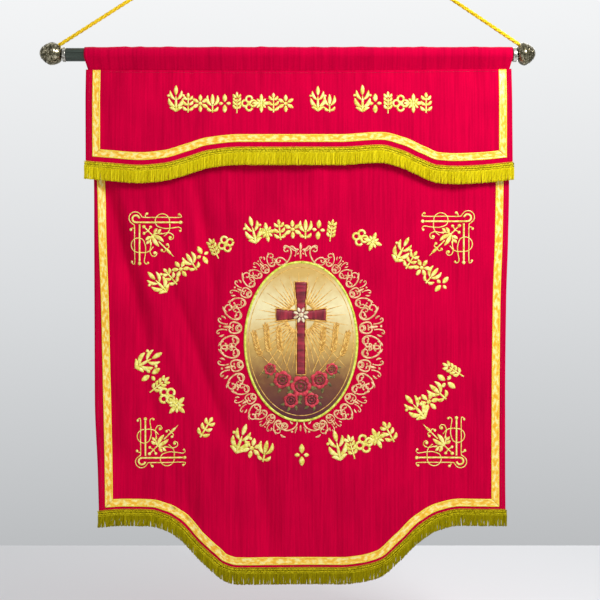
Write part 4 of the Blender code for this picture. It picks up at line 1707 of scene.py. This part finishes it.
@dataclass
class HangingCloth:
    """One of the two cloths: a woven sheet hemmed all round, in its folds."""

    name: str
    node: str
    surface: ClothSurface
    columns: int
    rows: int
    start: float                     # its top edge below the seam, mm
    cased: bool = False              # turned over the rod
    round_rows: int = 22

    def body(self) -> tuple[Array, Array, Array]:
        """Return the middle surface's x and drop, in mm, and points, from the cut edge up.

        Returns:
            The x and drop of each place, in mm, and its point.
        """
        share = np.linspace(0, 1, self.columns)[None, :]
        foot = self.surface.across(self.surface.side_rows[-1][0], share)
        hem = self.surface.hem(foot) + HEM_ALLOWANCE
        top = eased(SEAM_ROWS, foot) + self.start
        climb = np.linspace(0, 1, self.rows)[:, None] ** 0.94
        drop = hem + (top - hem) * climb
        x = self.surface.across(drop, share)
        y = self.surface.front(x, drop) + CLOTH_THICKNESS / 2 * MM
        return x, drop, world_points(x, y, drop)

    def casing(self, x: Array, drop: Array) -> Array:
        """Return the points from the seam over the rod and down to the turned edge.

        Args:
            x: the seam's places across, in mm.
            drop: the seam's drops, in mm.

        Returns:
            The points, row by row.
        """
        edges = np.interp(x, (x[0], 0.0, x[-1]), (CASING_EDGES[0] / x[0], 1.0, CASING_EDGES[1] / x[-1]))
        wide = x * edges
        leave = np.arcsin(CASING_RADIUS / drop)
        rows = []
        for share in (0.25, 0.5, 0.75):
            y = -CASING_RADIUS * np.cos(leave) * share
            level = drop - (drop - CASING_RADIUS * np.sin(leave)) * share
            rows.append(world_points(x + (wide - x) * share, y * MM, level))
        for k in range(self.round_rows + 1):
            turn = -leave + (np.pi + 2 * leave) * k / self.round_rows
            share = k / self.round_rows
            radius = CASING_RADIUS + 0.35 * smooth_noise(wide + 30 * share, 5, 9.0) + 0.35
            for middle, slant, width, depth in CASING_CREASES:
                ridge = np.exp(-((wide - middle - slant * (share - 0.25)) / width) ** 2)
                # over the rod every pull stands out, so its sign is dropped
                radius = radius + 1.3 * abs(depth) * ridge * math.sin(math.pi * share)
            rows.append(world_points(wide, -radius * np.cos(turn) * MM, -radius * np.sin(turn)))
        tuck = 2.0 + 0.3 * smooth_noise(x, 8, 14.0)
        for share in (0.34, 0.67, 1.0):
            y = CASING_RADIUS * np.cos(leave) * (1 - share) + tuck * share
            level = CASING_RADIUS * np.sin(leave) * (1 - share) + drop * share
            rows.append(world_points(wide + (x - wide) * share, y * MM, level))
        for share in (0.5, 1.0):
            rows.append(world_points(x, tuck * MM, drop + CASING_TUCK * share))
        return np.stack(rows)

    def build(self) -> Object:
        """Build the cloth with its thickness and return it.

        Returns:
            The new piece.
        """
        x, drop, points = self.body()
        if self.cased:
            points = np.concatenate([points, self.casing(x[-1], drop[-1])])
        step = np.linalg.norm(np.diff(points, axis=0), axis=2)
        down = np.concatenate([np.zeros((1, self.columns)), np.cumsum(step, axis=0)])
        uvs = np.stack([points[..., 0], down], axis=-1)
        maker = MeshMaker()
        maker.grid(points, uvs)
        item = maker.build(self.name, CRIMSON)
        solid = item.modifiers.new("thickness", "SOLIDIFY")
        solid.thickness = CLOTH_THICKNESS * MM
        solid.offset = 0.0
        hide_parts(self.node)
        return item


# ------------ trims

class TrimLine:
    """A line on a cloth, read by the distance along it."""

    def __init__(self, points: Array) -> None:
        """Take the line's points in x and drop, in mm.

        Args:
            points: the points, in order.
        """
        self.points = resample(points, 1.0)
        self.lengths = distances(self.points)
        tangent = np.gradient(self.points, axis=0)
        self.tangents = tangent / np.linalg.norm(tangent, axis=1)[:, None]

    @property
    def length(self) -> float:
        """Return the line's length in mm."""
        return float(self.lengths[-1])

    def at(self, along: Array, across: Array | float) -> tuple[Array, Array]:
        """Return x and drop at distances along the line and to its right-hand side.

        Args:
            along: distances from the start; past the ends the line goes on straight.
            across: distances sideways.

        Returns:
            The places' x and drop, in mm.
        """
        held = np.clip(along, 0, self.length)
        point = [np.interp(held, self.lengths, self.points[:, k]) for k in (0, 1)]
        way = [np.interp(held, self.lengths, self.tangents[:, k]) for k in (0, 1)]
        past = along - held
        return (point[0] + way[0] * past - way[1] * across, point[1] + way[1] * past + way[0] * across)


def hem_line(surface: ClothSurface, above: float, left: float, right: float) -> TrimLine:
    """Return the line that follows the fringe's top edge, so many mm above it.

    Args:
        surface: the cloth's face.
        above: how far above that edge, in mm.
        left: where it starts, in mm across.
        right: where it ends, in mm across.

    Returns:
        The line.
    """
    x = np.linspace(left, right, 400)
    drop = surface.hem(x)
    slope = np.gradient(drop, x)
    return TrimLine(np.stack([x, drop - above * np.hypot(1, slope)], axis=1))


@dataclass
class EdgeRibbon:
    """A gold ribbon sewn flat on a cloth: down both sides and along the hem, mitred."""

    name: str
    node: str
    surface: ClothSurface
    sewn_name: str
    step: float = 3.5
    lift: float = 0.15
    shares: tuple[float, ...] = (-1, -0.96, -0.84, -0.76, -0.38, 0, 0.38, 0.76, 0.84, 0.96, 1)
    heights: tuple[float, ...] = (0.1, 0.85, 1.05, 0.8, 0.85, 0.9, 0.85, 0.8, 1.05, 0.85, 0.1)
    stitch_pitch: float = 4.2

    def lines(self) -> list[tuple[TrimLine, float, float]]:
        """Return the strips' middle lines, each with the slants of its two ends.

        Returns:
            Each strip's middle line and its two slants.
        """
        above = self.surface.ribbon_gap + RIBBON_WIDTH / 2
        made, feet = [], []
        for column, slant in ((Column.LEFT_RIBBON, 1.0), (Column.RIGHT_RIBBON, -1.0)):
            foot = self.surface.foot(column)
            corner = float(self.surface.hem(foot)) - above
            top = float(eased(SEAM_ROWS, foot)) + 1.5
            drop = np.linspace(top, corner, 200)
            x = self.surface.edge(drop, column)
            made.append((TrimLine(np.stack([x, drop], axis=1)), 0.0, slant))
            feet.append(foot)
        return [*made, (hem_line(self.surface, above, *feet), 1.0, 1.0)]

    def strip(self, maker: MeshMaker, line: TrimLine, start: float, end: float, seed: int) -> None:
        """Add one strip.

        Args:
            maker: takes the mesh.
            line: the strip's middle line.
            start: how its first end slants, as a share of the distance across.
            end: the same at its last end.
            seed: picks its puckers.
        """
        half = RIBBON_WIDTH / 2
        across = np.array(self.shares) * half
        count = int(line.length / self.step)
        share = np.linspace(0, 1, count)[:, None]
        first, last = -start * across, line.length + end * across
        along = first + (last - first) * share
        x, drop = line.at(along, across[None, :])
        puckers = 0.18 * smooth_noise(along, seed, 6.0) + 0.10 * smooth_noise(along, seed + 1, 2.6)
        inner = 1 - np.abs(np.array(self.shares)) ** 6
        raised = self.lift + np.array(self.heights) + puckers * inner
        y = self.surface.front(x, drop) - raised * MM
        uvs = np.stack([along * MM + seed, np.broadcast_to((np.array(self.shares) + 1) / 2, along.shape)],
                       axis=-1)
        uvs = np.concatenate([uvs, uvs[:, :1]], axis=1)
        maker.grid(world_points(x, y, drop), uvs, ring=True, caps=True)

    def stitches(self, maker: MeshMaker, line: TrimLine) -> None:
        """Add a row of machine stitches along each selvedge.

        Args:
            maker: takes the mesh.
            line: the line that they follow.
        """
        for side in (-1.0, 1.0):
            for place in np.arange(8.0, line.length - 8.0, self.stitch_pitch):
                along = place + np.linspace(-1.35, 1.35, 3)
                x, drop = line.at(along, side * (RIBBON_WIDTH / 2 - 1.3))
                rise = self.lift + np.array([0.80, 1.22, 0.80])
                y = self.surface.front(x, drop) - rise * MM
                maker.tube(world_points(x, y, drop), 0.24 * MM, 4)

    def build(self) -> list[Object]:
        """Build the ribbon and its stitching and return them.

        Returns:
            The new pieces.
        """
        ribbon, sewing = MeshMaker(), MeshMaker()
        for k, (line, start, end) in enumerate(self.lines()):
            self.strip(ribbon, line, start, end, 11 + 7 * k)
            self.stitches(sewing, line)
        made = ribbon.build(self.name, RIBBON)
        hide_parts(self.node)
        return [made, sewing.build(self.sewn_name, GOLD_SEWING)]


@dataclass
class FringeTrim:
    """A fringe: a braided heading sewn along the hem, and a skirt of hanging yarns."""

    name: str
    node: str
    surface: ClothSurface
    height: float                    # from the heading's top edge to the yarns' ends, mm
    seed: int
    heading: float = 10.6
    overhang: float = 2.6
    yarn_pitch: float = 1.25
    yarn_radius: float = 0.78
    bundle: int = 5                  # yarns that hang together
    strand: SpunYarn = FRINGE_STRAND
    plait: SpunYarn = FRINGE_BRAID

    def line(self) -> TrimLine:
        """Return the heading's top edge.

        Returns:
            The line.
        """
        left = self.surface.foot(Column.LEFT_EDGE) - self.overhang
        right = self.surface.foot(Column.RIGHT_EDGE) + self.overhang
        return hem_line(self.surface, 0.0, left, right)

    def point(self, line: TrimLine, along: Array, across: Array, rise: Array) -> Array:
        """Return points of the heading.

        Args:
            line: its top edge.
            along: distances along it, mm.
            across: distances below it, mm.
            rise: heights above the cloth, mm.

        Returns:
            The points in metres.
        """
        x, drop = line.at(np.asarray(along, dtype=float), np.asarray(across, dtype=float))
        top = self.surface.hem(x)
        y = self.surface.front(x, np.minimum(drop, top + HEM_ALLOWANCE)) - np.asarray(rise) * MM
        return world_points(x, y, drop)

    def build_heading(self) -> list[Object]:
        """Build the tape, its two rows of slanting plaits, its loops and its edge cord.

        Returns:
            The new pieces.
        """
        line = self.line()
        tape, braid = MeshMaker(), MeshMaker()
        along = np.linspace(0.3, line.length - 0.3, int(line.length / 4))[:, None]
        across = np.array([0.6, 1.0, self.heading - 1.0, self.heading - 0.6])[None, :]
        rise = np.broadcast_to(np.array([0.3, 1.0, 1.0, 0.3]), (len(along), 4))
        uvs = uv_grid(along * MM, np.array([[0, 0.1, 0.9, 1, 0]]))
        tape.grid(self.point(line, along, across, rise), uvs, ring=True, caps=True)

        draw = np.random.default_rng(self.seed)
        swell = np.array([0.45, 1.05, 1.2, 1.05, 0.45])
        lean = np.linspace(-1, 1, 5)
        middle = self.heading / 2 - 0.4
        for place in np.arange(1.5, line.length - 1.5, 2.75):
            for row, slant in ((-1, 1), (1, -1)):
                shift = draw.uniform(-0.2, 0.2)
                plait = self.point(line, place + shift + slant * 1.5 * lean,
                                   middle + row * 2.15 + 1.9 * lean, 1.5 + 0.75 * (1 - lean ** 2))
                braid.tube(plait, swell * 0.95 * MM, 6, draw.uniform(0, 9))
        turn = np.linspace(0, np.pi, 6)
        for place in np.arange(1.2, line.length - 1.2, 3.3):
            loop = self.point(line, place + 1.35 * np.cos(turn), 0.9 - 2.0 * np.sin(turn),
                              1.3 + 0.3 * np.sin(turn))
            braid.tube(loop, 0.5 * MM, 5, draw.uniform(0, 9))
        for place in np.arange(1.0, line.length - 1.0, 2.1):
            twist = self.point(line, place + 1.15 * lean, self.heading - 0.9 + 0.75 * lean,
                               1.4 + 0.5 * (1 - lean ** 2))
            braid.tube(twist, swell * 0.72 * MM, 6, draw.uniform(0, 9))
        # the tape's dark finish paints the shade seen between the plaits
        backing = tape.build(f"{self.name}_tape", FRINGE_TAPE)
        plaits = braid.build(f"{self.name}_heading", self.plait)
        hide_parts(self.node)
        return [plaits, backing]

    def build_skirt(self) -> Object:
        """Build the hanging yarns, two deep, drawn together in bundles towards their ends.

        Returns:
            The new piece.
        """
        line = self.line()
        maker = MeshMaker()
        draw = np.random.default_rng(self.seed + 1)
        fall = np.linspace(0, 1, 8)
        for layer in (0, 1):
            places = np.arange(0.6 + 0.5 * layer * self.yarn_pitch, line.length - 0.6, self.yarn_pitch)
            drift, gather = 0.0, 0.0
            for number, place in enumerate(places):
                if number % self.bundle == 0:
                    drift = draw.normal(0, 0.45)
                    gather = draw.uniform(0.08, 0.32)
                offset = (number % self.bundle) - (self.bundle - 1) / 2
                start_x, start_drop = line.at(place, self.heading - 1.2)
                top = float(self.surface.hem(start_x))
                end_drop = top + self.height
                end_drop += draw.uniform(-0.9, 0.5) - 0.6 * layer
                sway = drift - offset * self.yarn_pitch * gather + draw.normal(0, 0.25)
                x = start_x + sway * fall ** 1.4 + 0.35 * np.sin(4 * fall + number * 1.7) * fall
                drop = start_drop + (end_drop - start_drop) * fall
                behind = self.surface.front(np.array([start_x]), top + HEM_ALLOWANCE)[0]
                rise = 2.0 - 1.1 * layer + draw.normal(0, 0.22) * fall
                bow = 0.5 * np.sin(np.pi * fall)
                radius = self.yarn_radius * (0.82 + 0.16 * np.sin(9 * fall + number)
                                             + 0.3 * smooth_step(0.86, 1.0, fall))
                maker.tube(world_points(x, behind - (rise + bow) * MM, drop), radius * MM, 5,
                           draw.uniform(0, 9))
        return maker.build(f"{self.name}_yarns", self.strand)

    def build(self) -> list[Object]:
        """Build the whole fringe and return its pieces."""
        return [*self.build_heading(), self.build_skirt()]


@dataclass
class SeamStitching:
    """Machine stitches in crimson thread: the casing's seam and the cloths' side hems."""

    pitch: float = 4.0
    length: float = 2.9
    radius: float = 0.3
    hem_in: float = 7.0              # from a side edge to its row of stitches

    def row(self, maker: MeshMaker, surface: ClothSurface, line: TrimLine) -> None:
        """Add stitches along a line on a cloth.

        Args:
            maker: takes the mesh.
            surface: the cloth's face.
            line: the line that they follow.
        """
        for place in np.arange(2.0, line.length - 2.0, self.pitch):
            along = place + np.linspace(-0.5, 0.5, 3) * self.length
            x, drop = line.at(along, 0.0)
            y = surface.front(x, drop) - np.array([0.02, 0.28, 0.02]) * MM
            maker.tube(world_points(x, y, drop), self.radius * MM, 4)

    def build(self, panel: PanelSurface, valance: ValanceSurface) -> Object:
        """Stitch the seam and the side hems and return the stitches.

        Args:
            panel: the panel's face.
            valance: the valance's face.

        Returns:
            The new piece.
        """
        maker = MeshMaker()
        x = np.linspace(-393, 403, 200)
        self.row(maker, valance, TrimLine(np.stack([x, eased(SEAM_ROWS, x) + 5.0], axis=1)))
        for surface, column, inwards in (
                (panel, Column.LEFT_EDGE, 1.0), (panel, Column.RIGHT_EDGE, -1.0),
                (valance, Column.LEFT_EDGE, 1.0), (valance, Column.RIGHT_EDGE, -1.0)):
            low = float(surface.hem(-380.0 * inwards)) - 2.0
            drop = np.linspace(34.0 if surface is valance else 60.0, low, 200)
            edge = surface.edge(drop, column) + inwards * self.hem_in
            self.row(maker, surface, TrimLine(np.stack([edge, drop], axis=1)))
        return maker.build("crimson_stitching", CRIMSON_THREAD)


# ------------ rope and rod

@dataclass
class HangingRope:
    """The three-strand twisted cord, held taut from finial to finial over the hook."""

    strands: int = 3
    lay_mm: float = 31.0             # length of one whole twist
    strand_radius: float = 1.95
    twist_radius: float = 1.82
    spacing: float = 1.4
    path_spacing: float = 5.0

    def build(self) -> Object:
        """Returns:
            The new piece.
        """
        flat = resample(through(CORD_ROUTE), self.spacing)
        line = np.stack([flat[:, 0], np.zeros(len(flat)), flat[:, 1]], axis=1)
        along = np.arange(len(line)) * self.spacing
        tangent = np.gradient(line, axis=0)
        tangent /= np.linalg.norm(tangent, axis=1)[:, None]
        back = np.array([0.0, 1.0, 0.0])
        side = np.cross(tangent, back)
        maker = MeshMaker()
        for k in range(self.strands):
            turn = 2 * np.pi * (along / self.lay_mm + k / self.strands)
            strand = line + self.twist_radius * (side * np.cos(turn)[:, None]
                                                 + back * np.sin(turn)[:, None])
            maker.tube(strand * MM, self.strand_radius * MM, 10, 3.1 * k)
        rope = maker.build("hanging_rope", CORD_YARN)
        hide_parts("hanging_cord")
        path = resample(through(CORD_ROUTE), self.path_spacing) * MM
        exit_x, exit_z = CORD_ROUTE[1]
        return rope


@dataclass
class RodAssembly:
    """The enamelled tube, its two collars and the turned finials on its ends."""

    left: float = -433.1
    right: float = 407.8
    radius: float = 12.5
    gap: float = 0.4
    collar_radius: float = 13.6
    collar_lengths: Pair = (6.0, 7.2)
    seat: float = 1.4
    tilt: float = 6.0
    widest: float = 22.6
    shoulders: Pair = (1.0, 0.6)
    finial_rows: tuple[Pair, ...] = (     # (distance from the tip, radius)
        (0.0, 0.2), (0.15, 2.2), (0.6, 4.6), (1.3, 6.4), (2.2, 8.0), (3.4, 9.7), (4.5, 11.4),
        (5.1, 12.2), (5.5, 12.1), (5.9, 11.5), (6.3, 11.5), (6.7, 12.4), (7.3, 13.7),
        (9.0, 15.3), (11.2, 16.9), (12.8, 18.1), (13.5, 18.5), (13.9, 18.1), (14.3, 17.5),
        (14.8, 17.6), (15.3, 18.5), (16.0, 19.4), (18.9, 20.9), (22.6, 21.6), (26.4, 21.0),
        (29.2, 20.3), (30.0, 20.2), (30.4, 19.6), (31.0, 19.5), (33.0, 18.9), (35.0, 17.9),
        (37.2, 16.6), (39.0, 15.3), (40.4, 13.8), (41.4, 12.6), (41.9, 11.2), (42.3, 9.2),
        (42.4, 6.0),
    )

    def turned(self, name: str, node: str, finish: Finish, rows: Sequence[Pair],
               foot: Array, axis: Array, sides: int = 72) -> Object:
        """Build a turned piece that stands for a node.

        Args:
            name: the piece's name.
            node: the node that it stands for.
            finish: what it is made of.
            rows: (height from the foot, radius) in mm, rising.
            foot: where its foot is, in mm.
            axis: the direction from the foot.
            sides: the number of sides.

        Returns:
            The new piece.
        """
        maker = MeshMaker()
        heights = np.array([height for height, _ in rows])
        radii = np.array([radius for _, radius in rows])
        maker.tube((foot + axis * heights[:, None]) * MM, radii * MM, sides)
        made = maker.build(name, finish)
        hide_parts(node)
        return made

    def rounded(self, length: float, radius: float, edge: float) -> list[Pair]:
        """Return the rows of a straight piece with rounded rims.

        Args:
            length: its length, in mm.
            radius: its radius, in mm.
            edge: how far its rims are rounded, in mm.

        Returns:
            Rows of height and radius.
        """
        turns = np.linspace(0, np.pi / 2, 5)
        rim = [(edge * (1 - math.cos(t)), radius - edge * (1 - math.sin(t))) for t in turns]
        return rim + [(length - h, r) for h, r in reversed(rim)]

    def build(self) -> list[Object]:
        """Build the rod and both of its ends and return them.

        Returns:
            The new pieces.
        """
        level = ROD_AXIS_Z / MM
        across = np.array([1.0, 0.0, 0.0])
        made = [self.turned("rod_tube", "rod", ENAMEL,
                            self.rounded(self.right - self.left, self.radius, 0.6),
                            np.array([self.left, 0.0, level]), across)]
        ends = (("left", -1.0, self.left), ("right", 1.0, self.right))
        for (side, way, end), length, shoulder in zip(ends, self.collar_lengths, self.shoulders):
            start = end + way * self.gap
            made.append(self.turned(f"collar_ring_{side}", f"collar_{side}", NICKEL,
                                    self.rounded(length, self.collar_radius, 0.9),
                                    np.array([start, 0.0, level]), way * across))
            tilt = math.radians(self.tilt)
            axis = np.array([way * math.cos(tilt), 0.0, math.sin(tilt)])
            foot = np.array([start + way * (length + self.seat), 0.0, level])
            places = [(d if d < self.widest else self.widest + (d - self.widest) * shoulder, r)
                      for d, r in self.finial_rows]
            rows = [(places[-1][0] - d, r) for d, r in reversed(places)]
            made.append(self.turned(f"finial_ball_{side}", f"finial_{side}", BRASS, rows, foot, axis, 96))
        return made


# ------------ studio

@dataclass
class Studio:
    """The camera, the pale floor and the soft light."""

    eye: Triple = (0.0075, -2.670, -0.7554)
    lens: float = 85.0
    floor_z: float = -1.40
    floor_back: float = 1.05
    floor_half: float = 4.0

    def camera(self) -> None:
        """Set the camera level and square on to the banner."""
        data = bpy.data.cameras.new("camera")
        data.lens = self.lens
        data.sensor_width = 36.0
        made = add_object("camera", data)
        made.location = self.eye
        made.rotation_euler = (math.pi / 2, 0, 0)
        bpy.context.scene.camera = made

    def floor(self) -> None:
        """Lay the matt pale floor."""
        mesh = bpy.data.meshes.new("floor")
        half, back = self.floor_half, self.floor_back
        corners = [(-half, -6.0), (half, -6.0), (half, back), (-half, back)]
        mesh.from_pydata([(x, y, self.floor_z) for x, y in corners], [], [(0, 1, 2, 3)])
        made = add_object("floor", mesh)
        paint = bpy.data.materials.new("pale_floor_paint")
        paint.use_nodes = True
        set_shader(paint.node_tree.nodes["Principled BSDF"], Base_Color=linear("#D2D4D6"), Roughness=0.6)
        mesh.materials.append(paint)

    def area(self, name: str, place: Triple, size: float, power: float, target: Triple) -> None:
        """Hang a soft light that faces a target.

        Args:
            name: the light's name.
            place: where it hangs.
            size: its side, in metres.
            power: its power, in watts.
            target: what it faces.
        """
        data = bpy.data.lights.new(name, "AREA")
        data.size = size
        data.energy = power
        made = add_object(name, data)
        made.location = place
        way = Vector(target) - Vector(place)
        made.rotation_euler = way.to_track_quat("-Z", "Y").to_euler()

    def world(self) -> None:
        """Set a pale grey world, darker towards the floor and before the banner."""
        world = bpy.data.worlds.new("studio")
        world.use_nodes = True
        bpy.context.scene.world = world
        tree = world.node_tree
        place = add_node(tree, "TexCoord")
        split = add_node(tree, "SeparateXYZ", links={0: place.outputs["Generated"]})
        height = add_node(tree, "MapRange", {1: -0.25, 2: 0.25}, {0: split.outputs[2]})
        shade = add_node(tree, "ValToRGB", links={0: height.outputs[0]},
                         stops=((0.14, "#B6B8BA"), (0.5, "#D6D8DA"), (0.95, "#F2F3F4")))
        depth = add_node(tree, "MapRange", {1: -0.6, 2: 0.6, 3: 0.52, 4: 1.04}, {0: split.outputs[1]})
        background = tree.nodes["Background"]
        tree.links.new(shade.outputs[0], background.inputs[0])
        tree.links.new(depth.outputs[0], background.inputs[1])

    def build(self) -> None:
        """Set up the studio."""
        self.camera()
        self.floor()
        self.world()
        self.area("key_light", (0.85, -1.1, 0.30), 0.6, 25.0, (0.0, 0.0, -0.6))
        self.area("fill_light", (-1.6, -1.8, -0.6), 1.2, 3.0, (0.0, 0.0, -0.8))
        self.area("back_light", (0.6, 2.2, 0.6), 1.6, 22.0, (0.0, 0.0, -0.7))
        bpy.context.scene.view_settings.view_transform = "Standard"


# ------------ the whole

def main() -> None:
    """Build the banner's looks, the camera and the rope first."""
    logging.basicConfig(level=logging.INFO, format="%(message)s")
    Studio().build()
    HangingRope().build()
    RodAssembly().build()

    panel, valance = PanelSurface(), ValanceSurface()
    panel_cloth = HangingCloth("panel_cloth", "main_panel", panel, 170, 222, 0.0, cased=True).build()
    valance_cloth = HangingCloth("valance_cloth", "valance", valance, 300, 56, 0.6).build()
    # the panel's fringe takes the painted-shade copies of the fringe yarns
    panel_trims = [*EdgeRibbon("panel_gold_ribbon", "panel_ribbon", panel,
                               "panel_ribbon_stitches").build(),
                   *FringeTrim("panel_gold_fringe", "panel_fringe", panel, 31.0, 21,
                               strand=SHADED_STRAND, plait=SHADED_BRAID).build()]
    valance_trims = [*EdgeRibbon("valance_gold_ribbon", "valance_ribbon", valance,
                                 "valance_ribbon_stitches").build(),
                     *FringeTrim("valance_gold_fringe", "valance_fringe", valance, 33.0, 51).build()]
    valance_trims.append(MotifLine().build(valance))
    panel_trims.append(MotifArc("upper_motifs", (11.3, 714.9), 386.0, (-45.4, 44.8),
                                (7, 7, 2, 5), hung=False, size=1.15).build(panel))
    panel_trims.append(MotifArc("lower_motifs", (9.4, 413.3), 341.0, (-62.6, 59.9), (5, 1, 3, 1, 5, 5),
                                hung=True, gap=1.75, first=3, size=1.28).build(panel))
    panel_trims.append(CornerOrnaments().build(panel))
    panel_trims.append(ScrollFrame().build(panel))
    panel_trims += Medallion().build()
    SeamStitching().build(panel, valance)

    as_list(panel_trims)


if __name__ == "__main__":
    main()
